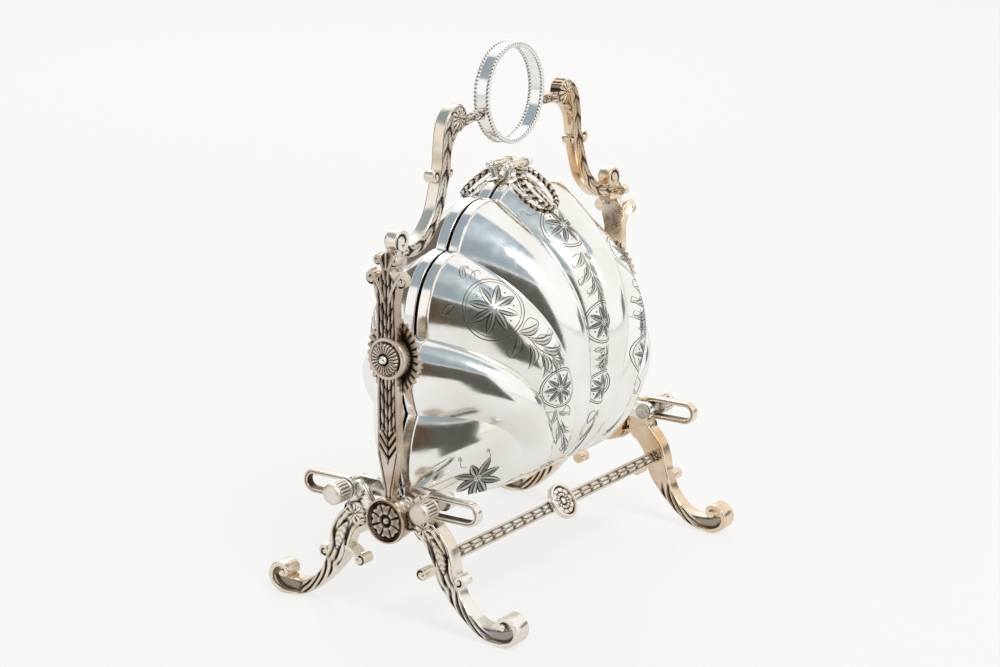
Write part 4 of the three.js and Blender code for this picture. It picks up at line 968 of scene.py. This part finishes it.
def arm_relief(s, t, width):
    """Leaves that run from the shoulder to the heel inside a narrow rim."""
    height, dark = leaves(9, 0.6, 0.75)(s, t, width)
    across = np.abs(2 * t - 1)
    rim = step(0.74, 0.84, across)
    return height * (1 - rim) + 0.25 * rim, dark * (1 - 0.9 * rim) + 0.5 * mound(across, 0.06, 0.74)


def arm_parts():
    """The S, the short bar and the neck that hold the ring, a rosette and three volutes."""
    spine = spline(arm_shares * [arm_reach, ring_height - arm_foot] + [0, arm_foot], 170)
    half = (3.7 * (1 - 0.22 * np.abs(np.linspace(-1, 1, 170)) ** 3))[:, None]
    side = sideways_of(spine)
    bar = [np.stack([np.linspace(24.4, 45, 40), np.full(40, z)], -1) for z in (232.2, 237.0)]
    pad = [np.stack([np.linspace(89.5, 97.5, 6), np.full(6, z)], -1) for z in (177.8, 181.6)]
    way = {"axes": ARM_AXES, "both": True}
    return [
        strip(spine - side * half, spine + side * half, -arm_deep, arm_deep, arm_relief,
              edge=0.7, **way),
        strip(*bar, -2.3, 2.3, leaves(3, 0.8, 0.4), edge=0.5, **way),
        rail(neck_line, np.linspace(3.0, 1.9, 60), -2.7, 2.7, count=60,
             relief=leaves(5, 0.8, 0.45), **way),
        boss((47.0, 236.1), 6.5, 0, leaf_fan(3.9, 1.2, 12), sides=96, **way),
        scroll((arm_reach, 184.5), 5.6, 0, 3.5, turns=1.4, start=3.6, way=-1, rings=34, **way),
        scroll((65.1, 210.6), 3.0, 0, 2.9, turns=1.0, start=1.5, rings=18, sides=40, **way),
        scroll((53.6, 210.6), 2.2, 0, 2.9, turns=0.9, start=1.5, rings=14, sides=32, **way),
        strip(*pad, -3, 3, edge=0.5, axes=ARM_AXES, columns=7)]


# The right end takes the finish with painted shade
make_pair(ENDS, "{}_handle_scroll", "frame", (shaded_far_silver, cast_silver),
          arm_parts(), "handle_arm_{}")

# %% [markdown]
# The ring is a hoop of sheet with a beaded wire soldered to both edges. The beads are a
# wave on the wire's thickness, so the whole hoop stays one closed surface.

# %% The ring
hoop_half, wire_radius, hoop_wall, bead_pairs = 4.35, 0.85, 0.95, 40


def ring_parts():
    """A hoop: the radius over the width is a flat band with a round bead at each edge, and
    the bead swells and sinks 80 times on the way round."""
    turn = np.linspace(0, 2 * np.pi, 960, endpoint=False)[:, None]
    width = np.linspace(-hoop_half, hoop_half, 49)[None]
    off_wire = np.abs(width) - (hoop_half - wire_radius)
    bead = np.sqrt(np.clip(1 - (off_wire / wire_radius) ** 2, 0, 1))
    swell = np.abs(np.cos(bead_pairs * (turn + 0.03 * off_wire))) ** 0.7
    proud = bead * (0.1 + 0.8 * swell)
    outer = ring_radius - wire_radius + proud
    inner = ring_radius - wire_radius - hoop_wall - proud
    radius = np.concatenate([outer, inner[:, ::-1] + 0 * turn], 1)
    level = np.concatenate([width, width[:, ::-1]], 1) + 0 * turn
    points = np.stack([radius * np.cos(turn), level, ring_height + radius * np.sin(turn)], -1)
    shade = bead * np.clip(1.5 - 1.5 * swell, 0, 1)
    return [surface(points, np.concatenate([shade, 0.8 * shade[:, ::-1]], 1), close_rows=True)]


make_piece("handle_hoop", "frame", polished_silver, ring_parts(),
           ["handle_ring"], sharp=50)

# %% [markdown]
# ## Stretchers
# A flat bar with two rims and a chain of leaf pairs between them ties the legs at the front
# and at the back. It leans, so that an opened shell comes to rest on its flat side, and a
# small rosette covers its middle.

# %% Stretchers
bar_reach, bar_half, bar_deep, chain_pairs, bar_lean = 93.2, 3.25, 1.5, 21, -35
bar_place, FLAT_AXES = [0, -30, 36], [0, 1, 2]


def chain(s, t, width):
    """Pairs of leaves like arrow heads, between two plain rims."""
    across = np.abs(2 * t - 1)
    wave = (s * chain_pairs + 0.3 * across) % 1
    long = np.sin(np.pi * np.clip(wave * 1.25, 0, 1)) ** 0.7
    leaf = long * np.sin(np.pi * np.clip(across / 0.62, 0, 1)) ** 0.6
    bead = mound(across, 0.1) * mound(wave, 0.12, 0.95)
    level = np.maximum(np.maximum(0.9 * leaf, step(0.66, 0.78, across)), bead)
    return 0.7 * level - 0.6, np.clip(0.85 - 1.2 * level, 0, 1)


def stretcher_flower(r, turn):
    """Rings of small petals round a bead, inside a plain raised edge."""
    inner = between(r, 0.26, 0.32, 0.44, 0.5) * np.abs(np.cos(turn * 7)) ** 0.5
    outer = between(r, 0.5, 0.56, 0.72, 0.8) * np.abs(np.cos(turn * 5)) ** 0.4
    rim, bead = between(r, 0.82, 0.86, 0.97, 1.03), np.sqrt(np.clip(1 - (r / 0.2) ** 2, 0, 1))
    level = np.maximum(np.maximum(0.6 * inner, 0.7 * outer), np.maximum(rim, bead))
    return 3.2 + 1.3 * level, np.clip(1 - 1.5 * level, 0, 1), 1.0


along = np.linspace(-bar_reach, bar_reach, 700)
edges = [np.stack([along, np.full(700, z)], -1) for z in (-bar_half, bar_half)]
stretchers = {
    "stretcher_chain": ("stretcher", strip(
        *edges, -bar_deep, bar_deep, chain, edge=0.4, axes=FLAT_AXES, columns=25)),
    "stretcher_flower": ("stretcher_rosette", boss(
        (0, 0), 9.2, 1.8, stretcher_flower, axes=FLAT_AXES, rings=44, sides=112))}
STAND_UP = np.array([[1, 0, 0], [0, 0, 1], [0, -1, 0]])
for name, (node, (points, quads, hollow)) in stretchers.items():
    placed = moved([(points @ STAND_UP, quads, hollow)], math.radians(bar_lean), bar_place)
    make_pair(HALVES, "{}_" + name, "frame", [cast_silver] * 2, placed, node + "_{}")

# %% [markdown]
# ## Knobs
# The four finger knobs were turned, reeded in the middle and left matt on their round ends.

# %% Knobs
knob_profile = [
    (0, 103.1, 0), (4.5, 103.1, 0), (5.1, 103.5, 0), (5.1, 104.1, 0), (4.8, 104.4, 0),
    (5.3, 104.8, 0.6), (5.4, 105.1, 1), (5.4, 107.5, 1), (5.4, 110.9, 1), (5.3, 111.4, 0.6),
    (5.1, 111.6, 0), (5.3, 111.9, 0), (5.3, 112.5, 0), (5.0, 113.6, 0), (4.2, 114.4, 0),
    (2.9, 114.9, 0), (1.4, 115.1, 0), (0, 115.1, 0)]
for half, way in (("front", -1), ("back", 1)):
    centre = (way * slot_first, pin_height)
    knob = [turned(knob_profile, centre, reeds=18, depth=0.16, sides=144)]
    for side, out in (("right", 1), ("left", -1)):
        make_piece(f"{half}_{side}_finger_knob", f"{half}_{side}_knob", frosted_silver,
                   mirrored(knob, [out, 1, 1]), [f"knob_{half}_{side}"], sharp=45)

# %% [markdown]
# ## Ring pulls
# A small laurel wreath hangs from a tube on each half, and the pin of the tube ends in
# balls outside the ears of its bracket.

# %% Ring pulls
pull_height, pull_reach, droop = 206.7, 4.8, math.radians(41.6)
wreath_long, wreath_wide, wreath_leaves, wreath_drop = 12.6, 8.9, 10, 3.2


def wreath():
    """A tube round an oval: its radius swells along each leaf and drops at the leaf's tip,
    and a ribbon ties it at the bottom."""
    turn = np.linspace(0, 2 * np.pi, 520, endpoint=False)[:, None]
    roll = np.linspace(0, 2 * np.pi, 22, endpoint=False)[None]
    side = np.abs(((turn + np.pi / 2) % (2 * np.pi)) - np.pi) / np.pi
    round_leaf = np.sin(roll * 1.5)
    wave = (side * wreath_leaves - 0.3 * np.abs(round_leaf)) % 1
    tie = mound(side, 0.035, 1) + mound(side, 0.05)
    radius = 1.05 + 0.65 * wave**0.7 * (1 - tie) + 0.7 * tie - 0.15 * mound(round_leaf, 0.2)
    out = np.stack([np.cos(turn) * wreath_long, np.sin(turn) * wreath_wide], -1)
    out = out / np.linalg.norm(out, axis=-1, keepdims=True)
    x = wreath_wide * np.cos(turn) + out[..., 0] * radius * np.cos(roll)
    y = wreath_long * np.sin(turn) + out[..., 1] * radius * np.cos(roll)
    shade = np.clip(1.4 - 2.0 * wave + 0.5 * np.abs(round_leaf) ** 4, 0.1, 1) * (1 - 0.7 * tie)
    points = np.stack([x, y - wreath_drop - wreath_long, radius * np.sin(roll) + 0 * turn], -1)
    return surface(points, shade, close_rows=True)


tube = turned([(0, -6.3, 0), (2.1, -6.3, 0), (2.4, -6.0, 0), (2.4, 6.0, 0), (2.1, 6.3, 0),
               (0, 6.3, 0)], sides=32)
pull = moved([wreath(), tube], droop, [0, -pull_reach, pull_height])
rod = [(1.0, -9.4, 0), (1.0, 9.4, 0)]
pin = [turned(ball(1.95, -10.3) + rod + ball(1.95, 10.3), (-pull_reach, pull_height), sides=24)]
twins = zip(HALVES, (pull, turned_half(pull)), (pin, turned_half(pin)))
for half, pull_parts, pin_parts in twins:
    make_piece(f"{half}_wreath", f"{half}_pull", cast_silver, pull_parts,
               [f"ring_pull_{half}"])
    make_piece(f"{half}_ball_pin", f"{half}_shell", polished_silver,
               pin_parts, [f"pull_pin_{half}"])

# %% [markdown]
# ## Brackets of the ring pulls
# Two ears with round ends hold the pin. They stand on a small saddle of sheet that was
# dressed over the crest of the top lobe before it was soldered, so it follows the skin.

# %% Brackets
saddle_turn, saddle_reach, saddle_rows = 0.052, (0.966, 0.997), 25
ear_line = [[-pull_reach, pull_height], [-4.5, 204.0], [-3.7, 201.7], [-3.3, 200.2]]


def saddle():
    """A plate on the skin: rows are angles, columns go from the rim down the shell."""
    share = np.linspace(0, 1, saddle_rows)
    angle, reach = np.meshgrid(np.linspace(-saddle_turn, saddle_turn, saddle_rows),
                               np.linspace(*saddle_reach, 13), indexing="ij")
    point = skin(angle, reach)
    normal = np.cross(np.gradient(point, axis=0), np.gradient(point, axis=1))
    normal /= np.linalg.norm(normal, axis=-1, keepdims=True)
    normal *= np.where(normal[..., 2:] > 0, 1, -1)
    thick = 0.5 + 0.7 * step(0, 0.12, share * (1 - share) * 4)[:, None, None]
    both = np.concatenate([point + normal * thick, (point - normal * 0.15)[:, ::-1]], 1)
    return surface(*capped(both, 0.0))


def ear_end(r, turn):
    """The round end of an ear with a soft edge."""
    return 8.4 - 0.5 * step(0.8, 1.0, r) ** 2, 0.5 * step(0.55, 0.45, r), 1.0


def ear_flat(s, t, width):
    """The flat side of an ear is level and darker between its edges."""
    return 0 * s * t, 0 * s + 0.75 * between(t, 0.08, 0.3, 0.7, 0.92)


ear = [rail(ear_line, np.linspace(1.5, 2.1, 40), 6.8, 8.3, relief=ear_flat),
       boss((-pull_reach, pull_height), 2.35, 6.75, ear_end, rings=16, sides=40)]
bracket = ear + mirrored(ear, [-1, 1, 1]) + [saddle()]
make_pair(HALVES, "{}_saddle_bracket", "{}_shell", [polished_silver] * 2,
          bracket, "pull_bracket_{}")

# %% [markdown]
# ## Engraving
# Every second lobe is engraved by hand: round medallions with an eight-petalled flower,
# and sprays of leaves between them that thin out towards the bottom. A bump map would
# swim on the strong bulge and could not be packed with the part, so each cut is a very
# thin closed ribbon laid on the skin, and each leaf is a thin patch with its hatching in
# the recess value. The drawing is flat, in millimetres, and a few Newton steps lay it on
# the skin round an anchor.

# %% Laying a drawing on the skin
last_angle, first_reach, last_reach = 1.245, 0.004, 0.992


def on_skin(anchor, flat):
    """Points and normals of the skin straight behind a flat drawing. The drawing lies in the
    tangent plane at the anchor; each Newton step solves two linear equations per point."""
    start, near = skin(*anchor), 1e-4
    across = skin(anchor[0] + near, anchor[1]) - start
    across /= np.linalg.norm(across)
    up = skin(anchor[0], anchor[1] + near) - start
    up -= across * (up @ across)
    up /= np.linalg.norm(up)
    angle, reach = np.full(flat.shape[:-1], anchor[0]), np.full(flat.shape[:-1], anchor[1])
    for _ in range(7):
        point = skin(angle, reach)
        by_angle = (skin(angle + near, reach) - point) / near
        by_reach = (skin(angle, reach + near) - point) / near
        miss_a = flat[..., 0] - (point - start) @ across
        miss_b = flat[..., 1] - (point - start) @ up
        a, b, c, d = by_angle @ across, by_reach @ across, by_angle @ up, by_reach @ up
        whole = a * d - b * c
        angle = angle + np.clip((miss_a * d - miss_b * b) / whole, -0.1, 0.1)
        reach = reach + np.clip((a * miss_b - c * miss_a) / whole, -0.1, 0.1)
        angle = np.clip(angle, -last_angle, last_angle)
        reach = np.clip(reach, first_reach, last_reach)
    normal = np.cross(by_angle, by_reach)
    normal /= np.linalg.norm(normal, axis=-1, keepdims=True)
    return point, normal * np.where(normal[..., 1:2] > 0, -1, 1)


print("a drawing may reach", round(math.degrees(last_angle), 1), "degrees from upright")

# %% [markdown]
# A graver's cut is widest in its middle and tapers at both ends. A leaf could be drawn
# with dozens of such cuts, but that many slivers would weigh down the mesh, so its
# hatching is a wave in the recess value of one patch.

# %% Cuts and leaves
# Widths of cuts, and how far a patch stands over the skin and reaches under it
fine_cut, stroke_cut, dot_cut, ring_cut = 0.42, 0.45, 0.5, 0.55
patch_over, patch_under, petal_tone = 0.03, 0.15, 0.42


def cut(anchor, line, width, closed=False):
    """One stroke of the graver: a ribbon with a dark middle that tapers at both ends."""
    point, normal = on_skin(anchor, np.asarray(line, float))
    if closed:
        way, taper = np.roll(point, -1, 0) - np.roll(point, 1, 0), np.ones(len(point))
    else:
        way = np.gradient(point, axis=0)
        taper = np.sin(np.pi * np.linspace(0.04, 0.96, len(point))) ** 0.6
    side = np.cross(normal, way)
    side /= np.linalg.norm(side, axis=-1, keepdims=True)
    half = width / 2 * taper[:, None]
    ring = np.stack([point - side * half + normal * 0.02, point + normal * 0.06,
                     point + side * half + normal * 0.02, point - normal * 0.2], 1)
    shade = np.broadcast_to([0.55, 1.0, 0.55, 1.0], ring.shape[:2])
    if closed:
        return surface(ring, shade, close_rows=True)
    return surface(*capped(ring, shade))


def leaf(anchor, base, tip, width, bend=0.0, tone=0.12):
    """A pointed leaf: a patch with dark edges, a midrib and slanting hatching over a tone."""
    base, tip = np.asarray(base, float), np.asarray(tip, float)
    length = np.hypot(*(tip - base))
    along = (tip - base) / length
    out = np.array([-along[1], along[0]])
    s = np.linspace(0.01, 0.99, max(int(length / 0.32), 12))[:, None, None]
    t = np.linspace(-1, 1, 13)[None, :, None]
    half = width / 2 * np.sin(np.pi * s**0.85) ** 0.75
    flat = base + along * s * length + out * (t * half + bend * 4 * s * (1 - s))
    point, normal = on_skin(anchor, flat)
    s, t = s[..., 0], t[..., 0]
    hatch = 0.5 + 0.5 * np.cos(2 * np.pi * (s * length - 0.8 * np.abs(t) * half[..., 0]) / 0.95)
    edge, rib = step(0.66, 0.86, np.abs(t)), mound(t, 0.14)
    shade = tone + 0.5 * hatch * step(0.2, -0.3, t) + edge + 0.8 * rib * step(0.9, 0.6, s)
    shade = np.clip(shade, 0, 1)
    under = (point - normal * patch_under)[:, ::-1]
    both = np.concatenate([point + normal * patch_over, under], 1)
    return surface(*capped(both, np.concatenate([shade, shade * 0], 1)))


def circle(centre, radius, count):
    """Points evenly round a circle."""
    turn = np.linspace(0, 2 * np.pi, count, endpoint=False)
    return np.stack([centre[0] + radius * np.cos(turn), centre[1] + radius * np.sin(turn)], -1)


def towards(share):
    """A unit vector at a share of the whole turn."""
    return np.array([np.cos(2 * np.pi * share), np.sin(2 * np.pi * share)])


def medallion(anchor, radius, petals=8):
    """Two circles round a flower, with a dot between every two petals."""
    rounds = ((1, 120, ring_cut), (0.9, 110, fine_cut), (0.085, 20, fine_cut))
    parts = [cut(anchor, circle((0, 0), radius * share, count), width, True)
             for share, count, width in rounds]
    for k in range(petals):
        way = towards((k + 0.25) / petals) * radius
        parts.append(leaf(anchor, way * 0.12, way * 0.84, radius * 0.27, tone=petal_tone))
        dot = towards((k + 0.75) / petals) * radius * 0.66
        parts.append(cut(anchor, circle(dot, 0.22, 8), dot_cut, True))
    return parts


print("a cut is", fine_cut, "to", ring_cut, "mm wide")

# %% [markdown]
# One spray is drawn as numbers and used at several sizes, as an engraver works
# from one pattern: it can be stretched, flipped, and drawn together at its lower end.

# %% Sprays and sprigs
# A spray is drawn once in a square from -1 to 1: leaves as base, tip, width and bend, and
# scroll strokes as points that a smooth curve joins
spray_leaves = [
    ((-0.1, 0.98), (-0.95, 0.5), 0.36, 0.1), ((0.1, 0.9), (0.9, 0.7), 0.34, -0.07),
    ((-0.12, 0.5), (-0.98, -0.15), 0.36, 0.12), ((0.1, 0.45), (0.98, 0.0), 0.36, -0.12),
    ((-0.08, -0.02), (-0.8, -0.7), 0.34, 0.12), ((0.12, -0.1), (0.95, -0.6), 0.36, -0.12),
    ((0.0, -0.45), (-0.3, -1.0), 0.28, 0.07), ((0.1, -0.5), (0.55, -1.0), 0.3, -0.08)]
spray_strokes = [
    [(0, 1), (-0.1, 0.6), (0.06, 0.1), (0.0, -0.5), (0.1, -1)],
    [(0.0, -0.1), (0.35, -0.2), (0.6, -0.55), (0.45, -0.85), (0.22, -0.75), (0.3, -0.6)],
    [(-0.05, 0.35), (-0.45, 0.3), (-0.7, -0.05), (-0.95, -0.2), (-0.98, 0.02), (-0.84, 0.02)],
    [(0.0, 0.75), (0.4, 0.85), (0.75, 0.95), (0.98, 0.75), (0.84, 0.6), (0.74, 0.7)],
    [(-0.2, 0.9), (-0.5, 0.95), (-0.85, 0.85), (-0.95, 0.55), (-0.8, 0.48), (-0.74, 0.6)],
    [(0.05, 0.0), (-0.2, -0.35), (-0.5, -0.6), (-0.75, -0.55), (-0.7, -0.4)],
    [(0.12, 0.6), (0.35, 0.3), (0.75, 0.22)], [(0.14, 0.5), (0.35, 0.2), (0.72, 0.1)],
    [(0.16, 0.02), (0.4, -0.3), (0.72, -0.36)], [(-0.1, 0.65), (-0.4, 0.15), (-0.85, 0.05)],
    [(-0.1, 0.1), (-0.35, -0.35), (-0.62, -0.42)], [(0.1, -0.3), (0.3, -0.6), (0.7, -0.85)]]


def spray(anchor, wide, high, flip=1, narrowing=0.0):
    """The drawn spray at a size; narrowing draws its lower end together to a point."""
    def sized(points):
        points = np.asarray(points, float)
        squeeze = 1 - narrowing * (1 - points[..., 1:]) / 2
        return np.concatenate(
            [points[..., :1] * wide / 2 * flip * squeeze, points[..., 1:] * high / 2], -1)
    parts = []
    for base, tip, width, bend in spray_leaves:
        width = max(width * wide / 2 * (1 - narrowing * (1 - tip[1]) / 2), 0.9)
        parts.append(leaf(anchor, sized(base), sized(tip), width, bend * wide * flip))
    for points in spray_strokes:
        parts.append(cut(anchor, sized(spline(points, 44)), stroke_cut))
    return parts


def sprig(anchor, base, tip, curl):
    """A curled stroke that ends in a small leaf."""
    base, tip = np.array(base, float), np.array(tip, float)
    side = np.array([-(tip - base)[1], (tip - base)[0]]) * curl
    return [cut(anchor, spline([base, (base + tip) / 2 + side, tip], 24), fine_cut),
            leaf(anchor, tip, tip + (tip - base) * 0.45 - side * 1.2, 1.6)]


def at(degrees, reach):
    """An anchor on the skin."""
    return math.radians(degrees), reach


print("a spray has", len(spray_leaves), "leaves and", len(spray_strokes), "strokes")

# %% [markdown]
# The middle lobe and the next lobe but one are worked, and a single flower sits on the
# lowest lobe. The other half of the drawing is the mirror image, and the back shell takes
# the whole of it turned half round.

# %% The drawing
middle_lobe = (
    medallion(at(0, 0.858), 12.4) + medallion(at(-0.5, 0.556), 10.4)
    + medallion(at(-0.3, 0.322), 8.8)
    + spray(at(0, 0.705), 18, 26) + spray(at(0, 0.435), 13, 12, -1)
    + spray(at(0, 0.13), 11, 32, 1, 0.75)
    + [leaf(at(k * 3.0, 0.955), (-k * 2.5, -1.5), (k * 3.0, 1.8), 2.8, 0.4 * k) for k in (-1, 1)]
    + sprig(at(0, 0.86), (-9, 11), (-13.5, 14), 0.2)
    + sprig(at(0, 0.86), (9, 11), (13.5, 14), -0.2))
tendril = [spline([(-4, 1.5), (0, 2.6 * k), (3.5, 1.0), (2.5, -1.0)], 24) for k in (-1, 1)]
side_lobe = (
    medallion(at(-28.6, 0.86), 15.0) + medallion(at(-31.0, 0.508), 10.0)
    + spray(at(-29.5, 0.68), 23, 29, -1) + spray(at(-33.0, 0.26), 15, 36, 1, 0.7)
    + [leaf(at(-28.4 + k * 3.6, 0.958), (-k * 3.0, -2.0), (k * 3.6, 2.2), 3.2, 0.5 * k)
       for k in (-1, 1)]
    + [cut(at(degrees, 0.93), line, fine_cut) for degrees, line in zip((-32.8, -24.0), tendril)]
    + sprig(at(-28.4, 0.86), (-9, 14), (-13, 19), 0.25)
    + sprig(at(-28.4, 0.86), (9, 14), (13, 18), -0.25))
low_anchor = at(-63.2, 0.245)
end_lobe = [cut(low_anchor, circle((0, 0), 1.2, 30), 0.4, True),
            cut(low_anchor, circle((0, 0), 0.4, 12), dot_cut, True)]
for k in range(8):
    way = towards((k + 0.3) / 8)
    tip = way * (14.0 if k % 2 else 12.0)
    end_lobe.append(leaf(low_anchor, way * 1.5, tip, 4.8, tone=petal_tone))
end_lobe += sprig(low_anchor, (-5, 11), (-8, 15.5), 0.3)
end_lobe += sprig(low_anchor, (5, 11), (7, 15.5), -0.3)
left_lobes = side_lobe + end_lobe

# Each piece of the drawing, its name on the front half and its name on the turned back half
drawn = [("crown", "crown", middle_lobe), ("left", "right", left_lobes),
         ("right", "left", mirrored(left_lobes, [-1, 1, 1]))]
for front_side, back_side, parts in drawn:
    make_piece(f"front_{front_side}_engraving", "front_shell", engraved_cut,
               parts, sharp=80)
    make_piece(f"back_{back_side}_engraving", "back_shell", engraved_cut,
               turned_half(parts), sharp=80)

# %% [markdown]
# ## Solids that are carried over
# The small fasteners and plates whose CAD form is already right keep it and only get
# their finish.

# %% Finishes of the carried solids
finish_of = {
    "frame_nut": plain_steel, "seat_screw": plain_steel, "shell_lug": polished_silver,
    "grille": brushed_silver, "grille_knob": polished_silver, "grille_pin": plain_steel,
    "hinge_pin": plain_steel}
carried = {name: node for name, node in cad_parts.items() if not node.hide_render}
for name, node in carried.items():
    kind = max((k for k in finish_of if name.startswith(k)), key=len)
    for slot in node.material_slots:
        slot.material = finish_of[kind]
print("carried solids:", len(carried))
